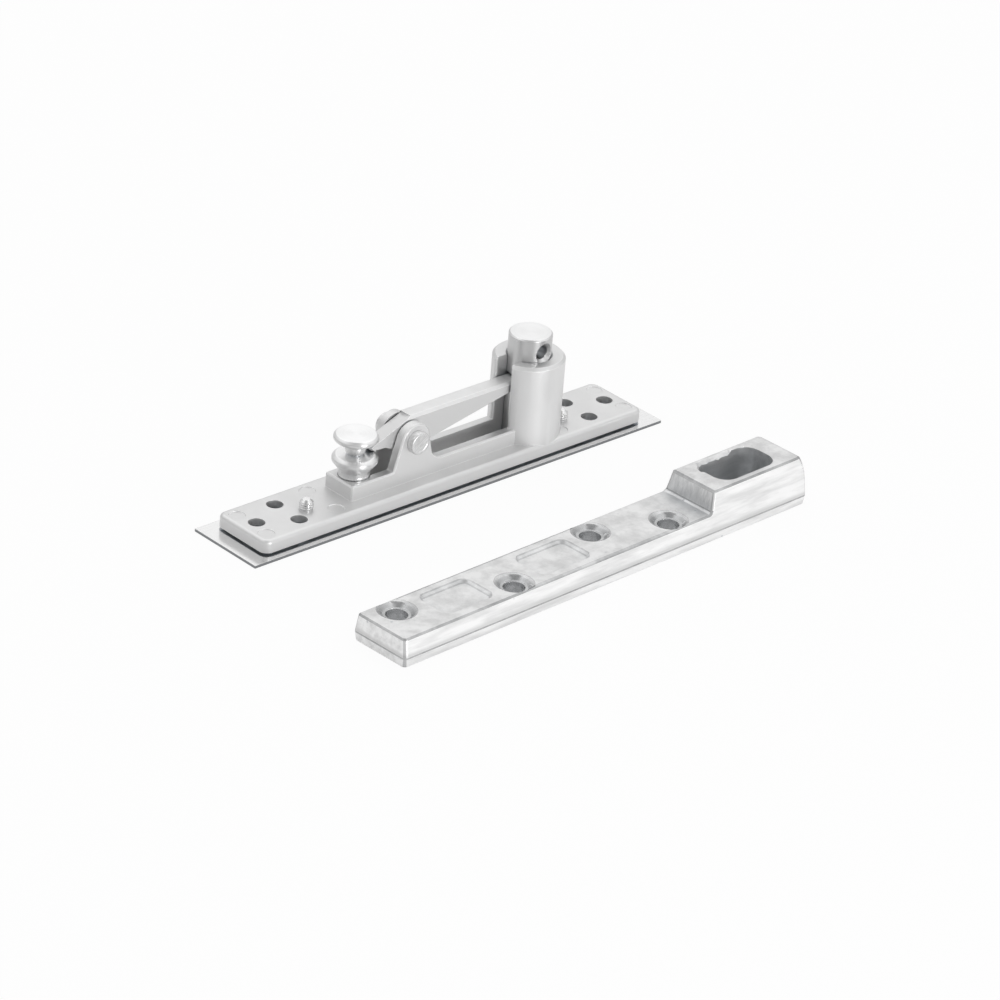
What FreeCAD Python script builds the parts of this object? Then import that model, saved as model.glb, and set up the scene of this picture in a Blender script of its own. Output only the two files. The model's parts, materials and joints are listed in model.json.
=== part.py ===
"""Door top pivot: the frame half with its retractable pin, and the door half beside it.

Millimetres, +Z up. The origin is the centre of the cover plate's outer face, which lies on the ground.
X runs along the plate from the screw end to the pin end, and Y across it. The frame half lies as it hangs
in the frame's head, with its cover plate down: turning the screw upwards rocks the lever, and the lever
drives the pivot pin down through the cover plate into the socket of the door half.
"""
import FreeCAD
import Part

import math
import os

# Base plate of the casting
PLATE_LENGTH = 169.3
PLATE_WIDTH = 25.3
PLATE_THICKNESS = 4.5
PLATE_CORNER = 3.0
PLATE_EDGE = 1.4
PAD_HEIGHT = 0.7
PAD_INSET = 2.2

# Cover plate, a flat sheet that stands out past the base plate and closes the mortise in the frame
COVER_RIM_AT_ENDS = 6.5
COVER_RIM_AT_SIDES = 2.75
COVER_THICKNESS = 1.0

# Channel block on the plate, and the slot between its rails
BLOCK_WIDTH = 13.8
BLOCK_HEIGHT = 5.3
BLOCK_EDGE = 0.5
BLOCK_END_WALL = 1.15
CHANNEL_WIDTH = 7.3
CHANNEL_FLOOR_THICKNESS = 3.3

# Ears that carry the hinge pin
HINGE_FROM_SCREW = 20.7
HINGE_Z = 20.7
EAR_RADIUS = 6.2
EAR_FOOT_LEFT = 9.8
EAR_HEEL_RADIUS = 0.8
EAR_FOOT_RIGHT = 12.5
EAR_TOE_RADIUS = 5.0

# Barrel that guides the pivot pin
PIVOT_FROM_END = 44.65
BARREL_RADIUS = 12.5
BARREL_TOP = 35.0
BARREL_EDGE = 1.0
BARREL_SLOT_EDGE = 0.9
GUIDE_CHAMFER = 0.5

# Pivot pin
PIN_RADIUS = 7.5
PIN_TOP = 43.1
PIN_BOTTOM = 0.3
PIN_TRAVEL = 14.0
PIN_CHAMFER = 0.5
PIN_RUNNING_CLEARANCE = 0.05
PIN_CROSS_HOLE_RADIUS = 2.4
PIN_CROSS_MOUTH_RADIUS = 4.0
PIN_CROSS_HOLE_BELOW_TOP = 5.5

# Lever
LEVER_WIDTH = 6.5
LEVER_TOP = 28.2
LEVER_BOSS_RADIUS = 5.1
LEVER_BEND_FROM_HINGE = 3.5
LEVER_BEND_RADIUS = 5.0
LEVER_BEVEL = 0.9
TOE_FROM_PIVOT = 5.5
TOE_RADIUS = 2.3
TOE_NECK_LENGTH = 5.5
TOE_NECK_DEPTH = 3.9
TOE_NECK_RADIUS = 2.0
TOE_CLEARANCE = 0.35
TOE_SLOT_FLARE = 0.8
NOSE_FROM_SCREW = 6.0
NOSE_ABOVE_HINGE = 0.8
NOSE_RADIUS = 2.0
NOSE_HEEL_LENGTH = 3.9
NOSE_HEEL_RADIUS = 1.5

# Hinge pin, a rivet with a head at each end
HINGE_PIN_RADIUS = 3.0
HINGE_PIN_CLEARANCE = 0.05
HINGE_HEAD_RADIUS = 4.0
HINGE_HEAD_HEIGHT = 2.6
HINGE_HEAD_EDGE = 0.4

# Adjusting screw: head, neck, collar, flange and threaded shank, turned from one bar
SCREW_FROM_END = 48.15
HEAD_TOP = 26.8
HEAD_RADIUS = 7.65
HEAD_THICKNESS = 2.6
HEAD_BEVEL = 0.5
HEAD_UNDER_BEVEL = 0.8
NECK_RADIUS = 2.6
COLLAR_RADIUS = 3.6
COLLAR_HEIGHT = 2.2
FLANGE_RADIUS = 7.8
FLANGE_FACE_RADIUS = 6.6
FLANGE_RIM_DROP = 1.7
FLANGE_THICKNESS = 5.4
SHANK_RADIUS = 5.4
SHANK_BOTTOM = 2.0
THREAD_CLEARANCE = 0.05
DRIVE_SLOT_WIDTH = 1.6
DRIVE_SLOT_DEPTH = 2.4
NOSE_CLEARANCE = 0.2

# Screw holes of the base plate, countersunk from below so that the cover plate clears the heads
MOUNT_HOLE_RADIUS = 2.9
MOUNT_HEAD_RADIUS = 5.4
OUTER_HOLE_FROM_END = 6.6
INNER_HOLE_FROM_END = 19.55
INNER_HOLE_Y = 6.2

# Cover plate screws and the holes of the cover plate
COVER_SCREW_RADIUS = 2.2
COVER_SCREW_HEAD_RADIUS = 3.9
COVER_SCREW_TIP_HEIGHT = 3.8
COVER_SCREW_TIP_EDGE = 0.9
COVER_SCREW_LEFT_FROM_END = 26.05
COVER_SCREW_RIGHT_FROM_END = 29.05
COVER_SCREW_Y = -2.0
COVER_SCREW_SLOT_WIDTH = 1.0
COVER_SCREW_SLOT_DEPTH = 1.0
COVER_PIN_HOLE_RADIUS = 8.2
ACCESS_HOLE_RADIUS = 5.0

# Door half: a strap cast in two halves of a mould, with a raised socket block at one end
STRAP_X = -2.2
STRAP_Y = -77.5
STRAP_TURN = 1.9
STRAP_LENGTH = 185.6
STRAP_WIDTH = 24.1
STRAP_THICKNESS = 10.0
PARTING_HEIGHT = 3.4
LOWER_DRAFT = 0.12
SIDE_DRAFT = 0.16
END_DRAFT = 0.05
STRAP_CORNER = 1.6
STRAP_EDGE = 0.6
SOCKET_BLOCK_LENGTH = 45.9
SOCKET_BLOCK_TOP = 17.6
SOCKET_BLOCK_FACE_DRAFT = 0.2
SOCKET_BLOCK_FOOT = 1.6
SHOULDER_RADIUS = 15.5
SHOULDER_HEIGHT = 9.0
SOCKET_LENGTH = 26.5
SOCKET_WIDTH = 15.1
SOCKET_CORNER = 5.6
SOCKET_DEPTH = 15.0
SOCKET_FROM_END = 23.9
STRAP_HOLE_RADIUS = 3.7
STRAP_SEAT_RADIUS = 4.6
STRAP_HEAD_RADIUS = 6.3
STRAP_HOLE_OFFSET = 4.8
STRAP_HOLE_SPACING_FAR = 86.7
STRAP_HOLE_SPACING_NEAR = 71.0
STRAP_FIRST_HOLE_FROM_END = 11.8
STRAP_SECOND_HOLE_FROM_END = 54.4
POCKET_WIDTH = 14.8
POCKET_CORNER = 3.2
POCKET_DEPTH = 1.0
POCKET_WALL_SLOPE = 1.0
POCKET_MARGIN = 4.2

CUT = 1.0

PLATE_BOTTOM = COVER_THICKNESS + PAD_HEIGHT
PLATE_TOP = PLATE_BOTTOM + PLATE_THICKNESS
PLATE_END = PLATE_LENGTH / 2
PIVOT_X = PLATE_END - PIVOT_FROM_END
SCREW_X = SCREW_FROM_END - PLATE_END
HINGE_X = SCREW_X + HINGE_FROM_SCREW
COVER_LENGTH = PLATE_LENGTH + 2 * COVER_RIM_AT_ENDS
COVER_WIDTH = PLATE_WIDTH + 2 * COVER_RIM_AT_SIDES
BLOCK_TOP = PLATE_TOP + BLOCK_HEIGHT
BLOCK_END_X = SCREW_X - SHANK_RADIUS - THREAD_CLEARANCE - BLOCK_END_WALL
CHANNEL_FLOOR = PLATE_BOTTOM + CHANNEL_FLOOR_THICKNESS
TOE_X = PIVOT_X - TOE_FROM_PIVOT
NOSE_X = SCREW_X + NOSE_FROM_SCREW
NOSE_Z = HINGE_Z + NOSE_ABOVE_HINGE
TOE_Z = LEVER_TOP - TOE_RADIUS
HEAD_UNDERSIDE = HEAD_TOP - HEAD_THICKNESS
LEVER_TURN = (math.asin((TOE_Z - HINGE_Z) / math.hypot(TOE_X - HINGE_X, TOE_Z - HINGE_Z))
              - math.asin((TOE_Z - HINGE_Z - PIN_TRAVEL) / math.hypot(TOE_X - HINGE_X, TOE_Z - HINGE_Z)))
FLANGE_TOP = NOSE_Z - NOSE_RADIUS - NOSE_CLEARANCE


def point(x, z, y=0.0):
    """A point of a profile in the XZ plane."""
    return FreeCAD.Vector(x, y, z)


def polar(centre, radius, angle):
    """The point at an angle on a circle of a profile."""
    return point(centre[0] + radius * math.cos(angle), centre[1] + radius * math.sin(angle))


def belt(discs):
    """A closed wire in the XZ plane that runs anticlockwise round discs.

    Each disc is (x, z, radius). A positive radius lies inside the outline and rounds a corner of it, a
    negative one lies outside and fills a hollow corner, and a radius of 0 is a sharp corner.
    """
    count = len(discs)
    normals = []
    for start, end in zip(discs, discs[1:] + discs[:1]):
        along = math.atan2(end[1] - start[1], end[0] - start[0])
        apart = math.hypot(end[0] - start[0], end[1] - start[1])
        normals.append(along - math.acos((start[2] - end[2]) / apart))
    edges = []
    for index, (disc, leave) in enumerate(zip(discs, normals)):
        arrive = normals[index - 1]
        turn = (leave - arrive + math.pi) % (2 * math.pi) - math.pi
        if disc[2] > 0 and turn < 0:
            turn += 2 * math.pi
        if disc[2] < 0 and turn > 0:
            turn -= 2 * math.pi
        ends = [polar(disc, disc[2], arrive + share * turn) for share in (0.0, 0.5, 1.0)]
        following = discs[(index + 1) % count]
        if disc[2] != 0:
            edges.append(Part.Arc(*ends).toShape())
        edges.append(Part.LineSegment(ends[2], polar(following, following[2], leave)).toShape())
    return Part.Wire(edges)


def polygon(points):
    """A closed wire through points of the XZ plane, given as (x, z)."""
    corners = [point(x, z) for x, z in points]
    return Part.makePolygon(corners + corners[:1])


def slab(wire, width, centre_y=0.0):
    """A profile in the XZ plane made into a solid of a width along Y."""
    face = Part.Face(wire)
    face.translate(FreeCAD.Vector(0, centre_y - width / 2, 0))
    return face.extrude(FreeCAD.Vector(0, width, 0))


def turned(points, x, y=0.0):
    """A solid of revolution about a vertical axis, from (radius, z) points."""
    solid = Part.Face(polygon(points)).revolve(FreeCAD.Vector(0, 0, 0), FreeCAD.Vector(0, 0, 1), 360)
    solid.translate(FreeCAD.Vector(x, y, 0))
    return solid


def upright(radius, bottom, top, x, y=0.0):
    """A vertical cylinder between two heights."""
    return Part.makeCylinder(radius, top - bottom, FreeCAD.Vector(x, y, bottom))


def across(radius, length, x, z):
    """A cylinder along Y, centred on the middle plane."""
    return Part.makeCylinder(radius, length, FreeCAD.Vector(x, -length / 2, z), FreeCAD.Vector(0, 1, 0))


def block(length, width, bottom, top, x=0.0, y=0.0):
    """A box centred on a point of the plan, between two heights."""
    return Part.makeBox(length, width, top - bottom, FreeCAD.Vector(x - length / 2, y - width / 2, bottom))


def rounded_outline(length, width, radius, z, x=0.0, y=0.0):
    """A closed wire of a rectangle with rounded corners, at a height."""
    half_x, half_y = length / 2 - radius, width / 2 - radius
    edges = []
    corners = [(1, -1, -0.5), (1, 1, 0.0), (-1, 1, 0.5), (-1, -1, 1.0)]
    places = []
    for sign_x, sign_y, turn in corners:
        centre = FreeCAD.Vector(x + sign_x * half_x, y + sign_y * half_y, z)
        places.append([centre + FreeCAD.Vector(radius * math.cos(math.pi * (turn + share)),
                                               radius * math.sin(math.pi * (turn + share)), 0)
                       for share in (0.0, 0.25, 0.5)])
    for here, following in zip(places, places[1:] + places[:1]):
        edges.append(Part.Arc(*here).toShape())
        edges.append(Part.LineSegment(here[2], following[0]).toShape())
    return Part.Wire(edges)


def rounded_prism(length, width, radius, bottom, top, x=0.0, y=0.0):
    """An upright prism with rounded vertical corners."""
    face = Part.Face(rounded_outline(length, width, radius, bottom, x, y))
    return face.extrude(FreeCAD.Vector(0, 0, top - bottom))


def countersink(head_radius, hole_radius, mouth, direction, x, y):
    """A cone with a 90 degree flare whose mouth lies at a height, opening up (1) or down (-1)."""
    depth = head_radius - hole_radius
    points = [(0, mouth + direction * CUT), (head_radius + CUT, mouth + direction * CUT),
              (hole_radius, mouth - direction * depth), (0, mouth - direction * depth)]
    return turned(points, x, y)


def edges_at_height(shape, height, tolerance=1e-4):
    """The edges of a solid that lie wholly at one height."""
    return [edge for edge in shape.Edges
            if abs(edge.BoundBox.ZMin - height) < tolerance and abs(edge.BoundBox.ZMax - height) < tolerance]


def mount_holes():
    """The places of the base plate's six screw holes."""
    outer = PLATE_END - OUTER_HOLE_FROM_END
    inner = PLATE_END - INNER_HOLE_FROM_END
    return ([(side * outer, 0.0) for side in (-1, 1)]
            + [(side * inner, edge * INNER_HOLE_Y) for side in (-1, 1) for edge in (-1, 1)])


def cover_screw_places():
    """The places of the two cover plate screws."""
    return [(-PLATE_END + COVER_SCREW_LEFT_FROM_END, COVER_SCREW_Y),
            (PLATE_END - COVER_SCREW_RIGHT_FROM_END, COVER_SCREW_Y)]


def base_plate():
    """The plate with rounded top edges, and the pad below it that bears on the cover plate."""
    plate = rounded_prism(PLATE_LENGTH, PLATE_WIDTH, PLATE_CORNER, PLATE_BOTTOM, PLATE_TOP)
    plate = plate.makeFillet(PLATE_EDGE, edges_at_height(plate, PLATE_TOP))
    pad = rounded_prism(PLATE_LENGTH - 2 * PAD_INSET, PLATE_WIDTH - 2 * PAD_INSET, PLATE_CORNER,
                        COVER_THICKNESS, PLATE_BOTTOM + PLATE_THICKNESS / 2)
    return plate.fuse(pad)


def block_with_ears():
    """The channel block and the two ears, one slab from a side outline, with eased outer edges."""
    buried = PLATE_BOTTOM + PLATE_THICKNESS / 2
    discs = [
        (BLOCK_END_X, buried, 0),
        (PIVOT_X, buried, 0),
        (PIVOT_X, BLOCK_TOP, 0),
        (HINGE_X + EAR_FOOT_RIGHT, BLOCK_TOP + EAR_TOE_RADIUS, -EAR_TOE_RADIUS),
        (HINGE_X, HINGE_Z, EAR_RADIUS),
        (HINGE_X - EAR_FOOT_LEFT, BLOCK_TOP + EAR_HEEL_RADIUS, -EAR_HEEL_RADIUS),
        (BLOCK_END_X, BLOCK_TOP, 0),
    ]
    slab_shape = slab(belt(discs), BLOCK_WIDTH)
    flank = BLOCK_WIDTH / 2
    eased = []
    for edge in slab_shape.Edges:
        box = edge.BoundBox
        on_flank = box.YLength < 1e-4 and abs(abs(box.YMin) - flank) < 1e-4
        on_end = box.XLength < 1e-4 and abs(box.XMax - BLOCK_END_X) < 1e-4
        if (on_flank or on_end) and box.ZMax > buried + 0.1 and box.XMin < PIVOT_X - 0.1:
            eased.append(edge)
    return slab_shape.makeChamfer(BLOCK_EDGE, eased)


def barrel():
    """The round housing of the pivot pin, with a bevelled top rim."""
    body = upright(BARREL_RADIUS, PLATE_BOTTOM + PLATE_THICKNESS / 2, BARREL_TOP, PIVOT_X)
    return body.makeChamfer(BARREL_EDGE, edges_at_height(body, BARREL_TOP))


def frame_body():
    """The one-piece casting: plate, block, ears and barrel, with every hole and slot cut."""
    body = base_plate()
    for piece in (block_with_ears(), barrel()):
        body = body.fuse(piece)
    guide = PIN_RADIUS + PIN_RUNNING_CLEARANCE
    channel_length = PIVOT_X - SCREW_X
    cuts = [
        block(channel_length, CHANNEL_WIDTH, CHANNEL_FLOOR, BARREL_TOP + CUT, SCREW_X + channel_length / 2),
        upright(SHANK_RADIUS + THREAD_CLEARANCE, COVER_THICKNESS - CUT, BLOCK_TOP + CUT, SCREW_X),
        upright(guide, COVER_THICKNESS - CUT, BARREL_TOP + CUT, PIVOT_X),
        turned([(0, BARREL_TOP + CUT), (guide + GUIDE_CHAMFER + CUT, BARREL_TOP + CUT),
                (guide, BARREL_TOP - GUIDE_CHAMFER), (0, BARREL_TOP - GUIDE_CHAMFER)], PIVOT_X),
        across(HINGE_PIN_RADIUS, BLOCK_WIDTH + 2 * CUT, HINGE_X, HINGE_Z),
    ]
    for x, y in mount_holes():
        cuts.append(upright(MOUNT_HOLE_RADIUS, COVER_THICKNESS - CUT, PLATE_TOP + CUT, x, y))
        cuts.append(countersink(MOUNT_HEAD_RADIUS, MOUNT_HOLE_RADIUS, COVER_THICKNESS, -1, x, y))
    for x, y in cover_screw_places():
        past_tip = PLATE_TOP + COVER_SCREW_TIP_HEIGHT + CUT
        cuts.append(upright(COVER_SCREW_RADIUS, COVER_THICKNESS - CUT, past_tip, x, y))
        cuts.append(countersink(COVER_SCREW_HEAD_RADIUS, COVER_SCREW_RADIUS, 0.0, -1, x, y))
    body = body.cut(cuts).removeSplitter()
    slot_edges = []
    for edge in body.Edges:
        box = edge.BoundBox
        upright_line = box.XLength < 1e-4 and box.YLength < 1e-4 and box.ZLength > BLOCK_HEIGHT
        on_slot_wall = abs(abs(box.YMin) - CHANNEL_WIDTH / 2) < 1e-4
        outside_guide = HINGE_X + EAR_FOOT_RIGHT < box.XMin < PIVOT_X - PIN_RADIUS - BARREL_EDGE
        if upright_line and on_slot_wall and outside_guide and box.ZMax > HINGE_Z:
            slot_edges.append(edge)
    return body.makeFillet(BARREL_SLOT_EDGE, slot_edges)


def cover_plate():
    """The flat cover with holes for the pin and the screwdriver, and two countersunk screw holes."""
    sheet = block(COVER_LENGTH, COVER_WIDTH, 0.0, COVER_THICKNESS)
    cuts = [upright(COVER_PIN_HOLE_RADIUS, -CUT, COVER_THICKNESS + CUT, PIVOT_X),
            upright(ACCESS_HOLE_RADIUS, -CUT, COVER_THICKNESS + CUT, SCREW_X)]
    for x, y in cover_screw_places():
        cuts.append(countersink(COVER_SCREW_HEAD_RADIUS, COVER_SCREW_RADIUS, 0.0, -1, x, y))
    return sheet.cut(cuts)


def cover_screw(x, y):
    """A countersunk screw whose tip stands above the base plate."""
    head_depth = COVER_SCREW_HEAD_RADIUS - COVER_SCREW_RADIUS
    tip = PLATE_TOP + COVER_SCREW_TIP_HEIGHT
    shape = turned([(0, 0), (COVER_SCREW_HEAD_RADIUS, 0), (COVER_SCREW_RADIUS, head_depth),
                    (COVER_SCREW_RADIUS, tip), (0, tip)], x, y)
    shape = shape.makeChamfer(COVER_SCREW_TIP_EDGE, edges_at_height(shape, tip))
    slot = block(2 * COVER_SCREW_HEAD_RADIUS + CUT, COVER_SCREW_SLOT_WIDTH,
                 -CUT, COVER_SCREW_SLOT_DEPTH, x, y)
    return shape.cut(slot)


def hinge_pin():
    """The rivet through the ears, with a bevelled head at each end."""
    shank = across(HINGE_PIN_RADIUS, BLOCK_WIDTH, HINGE_X, HINGE_Z)
    for side in (-1, 1):
        start = FreeCAD.Vector(HINGE_X, side * BLOCK_WIDTH / 2, HINGE_Z)
        head = Part.makeCylinder(HINGE_HEAD_RADIUS, HINGE_HEAD_HEIGHT, start, FreeCAD.Vector(0, side, 0))
        rim = side * (BLOCK_WIDTH / 2 + HINGE_HEAD_HEIGHT)
        outer = [edge for edge in head.Edges
                 if abs(edge.BoundBox.YMin - rim) < 1e-4 and abs(edge.BoundBox.YMax - rim) < 1e-4]
        shank = shank.fuse(head.makeChamfer(HINGE_HEAD_EDGE, outer))
    return shank.removeSplitter()


def lever():
    """The rocker: nose under the screw head, boss on the hinge pin, long arm and round toe.

    Its flanks are flat, and a bevel runs round the outline, wide along the top and narrow on the boss.
    """
    discs = [
        (NOSE_X, NOSE_Z, NOSE_RADIUS, 0.5),
        (NOSE_X + NOSE_HEEL_LENGTH, NOSE_Z - NOSE_RADIUS - NOSE_HEEL_RADIUS, -NOSE_HEEL_RADIUS, 0.2),
        (HINGE_X, HINGE_Z, LEVER_BOSS_RADIUS, 0.2),
        (TOE_X - TOE_NECK_LENGTH, LEVER_TOP - TOE_NECK_DEPTH - TOE_NECK_RADIUS, -TOE_NECK_RADIUS, 0.2),
        (TOE_X, TOE_Z, TOE_RADIUS, LEVER_BEVEL),
        (HINGE_X - LEVER_BEND_FROM_HINGE, LEVER_TOP - LEVER_BEND_RADIUS, LEVER_BEND_RADIUS, LEVER_BEVEL),
    ]
    whole = [(x, z, radius) for x, z, radius, bevel in discs]
    flank = [(x, z, radius - bevel) for x, z, radius, bevel in discs]
    inner = LEVER_WIDTH / 2 - LEVER_BEVEL
    arm = slab(belt(whole), 2 * inner)
    for side in (-1, 1):
        wires = [belt(whole), belt(flank)]
        wires[0].translate(FreeCAD.Vector(0, side * inner, 0))
        wires[1].translate(FreeCAD.Vector(0, side * LEVER_WIDTH / 2, 0))
        arm = arm.fuse(Part.makeLoft(wires, True, True))
    return arm.cut(across(HINGE_PIN_RADIUS + HINGE_PIN_CLEARANCE, LEVER_WIDTH + 2 * CUT, HINGE_X, HINGE_Z))


def pivot_pin():
    """The pin that the door turns on, slotted for the lever's toe and cross drilled near its top."""
    pin = upright(PIN_RADIUS, PIN_BOTTOM, PIN_TOP, PIVOT_X)
    pin = pin.makeChamfer(PIN_CHAMFER, edges_at_height(pin, PIN_TOP) + edges_at_height(pin, PIN_BOTTOM))
    half = TOE_RADIUS + TOE_CLEARANCE
    mouth = half + TOE_SLOT_FLARE
    outer = PIVOT_X - PIN_RADIUS - CUT
    end = TOE_X + TOE_RADIUS + TOE_CLEARANCE
    slot = slab(polygon([(outer, TOE_Z - mouth), (TOE_X, TOE_Z - half), (end, TOE_Z - half),
                         (end, TOE_Z + half), (TOE_X, TOE_Z + half), (outer, TOE_Z + mouth)]), CHANNEL_WIDTH)
    hole_z = PIN_TOP - PIN_CROSS_HOLE_BELOW_TOP
    cross = across(PIN_CROSS_HOLE_RADIUS, 2 * PIN_RADIUS + CUT, PIVOT_X, hole_z)
    cuts = [slot, cross]
    for side in (-1, 1):
        flare = PIN_CROSS_MOUTH_RADIUS - PIN_CROSS_HOLE_RADIUS
        start = FreeCAD.Vector(PIVOT_X, side * (PIN_RADIUS - flare), hole_z)
        cuts.append(Part.makeCone(PIN_CROSS_HOLE_RADIUS, PIN_CROSS_MOUTH_RADIUS + CUT, flare + CUT, start,
                                  FreeCAD.Vector(0, side, 0)))
    return pin.cut(cuts)


def adjusting_screw():
    """The screw, turned about its own axis: flat head, neck with a collar, flange and slotted shank."""
    rim = FLANGE_RADIUS - FLANGE_FACE_RADIUS
    flange_bottom = FLANGE_TOP - FLANGE_THICKNESS
    points = [
        (0, SHANK_BOTTOM),
        (SHANK_RADIUS, SHANK_BOTTOM),
        (SHANK_RADIUS, flange_bottom),
        (FLANGE_RADIUS, FLANGE_TOP - FLANGE_RIM_DROP - rim / 2),
        (FLANGE_RADIUS, FLANGE_TOP - rim),
        (FLANGE_FACE_RADIUS, FLANGE_TOP),
        (COLLAR_RADIUS, FLANGE_TOP),
        (COLLAR_RADIUS, FLANGE_TOP + COLLAR_HEIGHT),
        (NECK_RADIUS, FLANGE_TOP + COLLAR_HEIGHT),
        (NECK_RADIUS, HEAD_UNDERSIDE),
        (HEAD_RADIUS - HEAD_UNDER_BEVEL, HEAD_UNDERSIDE),
        (HEAD_RADIUS, HEAD_UNDERSIDE + HEAD_UNDER_BEVEL),
        (HEAD_RADIUS, HEAD_TOP - HEAD_BEVEL),
        (HEAD_RADIUS - HEAD_BEVEL, HEAD_TOP),
        (0, HEAD_TOP),
    ]
    slot = block(2 * SHANK_RADIUS + CUT, DRIVE_SLOT_WIDTH,
                 SHANK_BOTTOM - CUT, SHANK_BOTTOM + DRIVE_SLOT_DEPTH, SCREW_X)
    return turned(points, SCREW_X).cut(slot)


def side_outline():
    """The strap's outline above the parting line, seen from the side, with its raised block and shoulder."""
    end = STRAP_LENGTH / 2
    rise = STRAP_THICKNESS - PARTING_HEIGHT
    foot_x = end - SOCKET_BLOCK_LENGTH
    lean = SOCKET_BLOCK_FACE_DRAFT
    hollow_x = foot_x + SOCKET_BLOCK_FOOT * (lean - math.hypot(1.0, lean))
    block_x = foot_x + lean * (SOCKET_BLOCK_TOP - STRAP_THICKNESS)
    reach = math.sqrt(SHOULDER_RADIUS ** 2 - (SOCKET_BLOCK_TOP - SHOULDER_HEIGHT) ** 2)
    middle = math.asin((SOCKET_BLOCK_TOP - SHOULDER_HEIGHT) / SHOULDER_RADIUS) / 2
    centre = (end - SHOULDER_RADIUS, SHOULDER_HEIGHT)
    hollow = (hollow_x, STRAP_THICKNESS + SOCKET_BLOCK_FOOT)
    tilt = math.atan(lean)
    corners = {
        "heel": point(-end, PARTING_HEIGHT),
        "toe": point(end, PARTING_HEIGHT),
        "shoulder": point(end, SHOULDER_HEIGHT),
        "crown": point(centre[0] + reach, SOCKET_BLOCK_TOP),
        "face": point(block_x, SOCKET_BLOCK_TOP),
        "hollow_top": polar(hollow, SOCKET_BLOCK_FOOT, -tilt),
        "hollow_end": polar(hollow, SOCKET_BLOCK_FOOT, -math.pi / 2),
        "tail": point(-end + END_DRAFT * rise, STRAP_THICKNESS),
    }

    def line(first, second):
        return Part.LineSegment(corners[first], corners[second]).toShape()

    def arc(first, between, second):
        return Part.Arc(corners[first], between, corners[second]).toShape()

    return Part.Wire([
        line("heel", "toe"),
        line("toe", "shoulder"),
        arc("shoulder", polar(centre, SHOULDER_RADIUS, middle), "crown"),
        line("crown", "face"),
        line("face", "hollow_top"),
        arc("hollow_top", polar(hollow, SOCKET_BLOCK_FOOT, -math.pi / 4 - tilt / 2), "hollow_end"),
        line("hollow_end", "tail"),
        line("tail", "heel"),
    ])


def drafted_sides():
    """A long wedge whose sides lean in above the parting line, to trim the extruded side outline."""
    rise = SOCKET_BLOCK_TOP + CUT - PARTING_HEIGHT
    half = STRAP_WIDTH / 2
    narrow = half - SIDE_DRAFT * rise
    length = STRAP_LENGTH + 2 * CUT
    corners = [FreeCAD.Vector(-length / 2, y, z)
               for y, z in ((-half, PARTING_HEIGHT), (half, PARTING_HEIGHT),
                            (narrow, PARTING_HEIGHT + rise), (-narrow, PARTING_HEIGHT + rise))]
    return Part.Face(Part.makePolygon(corners + corners[:1])).extrude(FreeCAD.Vector(length, 0, 0))


def upper_strap():
    """The strap above the parting line, with rounded end corners and eased edges."""
    body = slab(side_outline(), STRAP_WIDTH).common(drafted_sides())
    end = STRAP_LENGTH / 2
    corners = []
    for edge in body.Edges:
        box = edge.BoundBox
        at_an_end = box.XMax < -end + STRAP_THICKNESS / 2 or box.XMin > end - SHOULDER_RADIUS / 2
        if at_an_end and box.ZLength > 1.0 and box.YLength < box.ZLength:
            corners.append(edge)
    body = body.makeFillet(STRAP_CORNER, corners)
    eased = []
    for edge in body.Edges:
        box = edge.BoundBox
        on_top = box.ZMax > STRAP_THICKNESS - 0.1 and box.ZMin > PARTING_HEIGHT + 0.1
        foot_of_block = box.YLength > STRAP_WIDTH / 2 and box.ZMax < SOCKET_BLOCK_TOP - 0.1 and box.XMin > 0
        round_shoulder = box.ZLength > 5 and box.XMin > end - SOCKET_BLOCK_LENGTH / 2
        if on_top and not foot_of_block and not round_shoulder:
            eased.append(edge)
    return body.makeChamfer(STRAP_EDGE, eased)


def lower_strap(upper):
    """The strap below the parting line, from the upper half's outline in towards its flat underside."""
    outline = min(upper.Faces, key=lambda face: face.CenterOfMass.z).OuterWire
    inset = 2 * LOWER_DRAFT * PARTING_HEIGHT
    shrink = FreeCAD.Matrix()
    shrink.scale(1 - inset / STRAP_LENGTH, 1 - inset / STRAP_WIDTH, 1)
    underside = outline.transformGeometry(shrink)
    underside.translate(FreeCAD.Vector(0, 0, -PARTING_HEIGHT))
    return Part.makeLoft([underside, outline], True, True)


def strap_holes():
    """The places of the strap's four screw holes, staggered about its centre line."""
    far = STRAP_FIRST_HOLE_FROM_END - STRAP_LENGTH / 2
    near = STRAP_SECOND_HOLE_FROM_END - STRAP_LENGTH / 2
    return [(far, STRAP_HOLE_OFFSET), (near, -STRAP_HOLE_OFFSET),
            (far + STRAP_HOLE_SPACING_FAR, STRAP_HOLE_OFFSET),
            (near + STRAP_HOLE_SPACING_NEAR, -STRAP_HOLE_OFFSET)]


def pocket(left, right):
    """A shallow cast recess between two ends, with sloping walls."""
    x = (left + right) / 2
    floor = (STRAP_THICKNESS - POCKET_DEPTH, -POCKET_WALL_SLOPE * POCKET_DEPTH)
    mouth = (STRAP_THICKNESS + CUT, POCKET_WALL_SLOPE * CUT)
    wires = [rounded_outline(right - left + 2 * grow, POCKET_WIDTH + 2 * grow,
                             POCKET_CORNER + grow, height, x)
             for height, grow in (floor, mouth)]
    return Part.makeLoft(wires, True, True)


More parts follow.
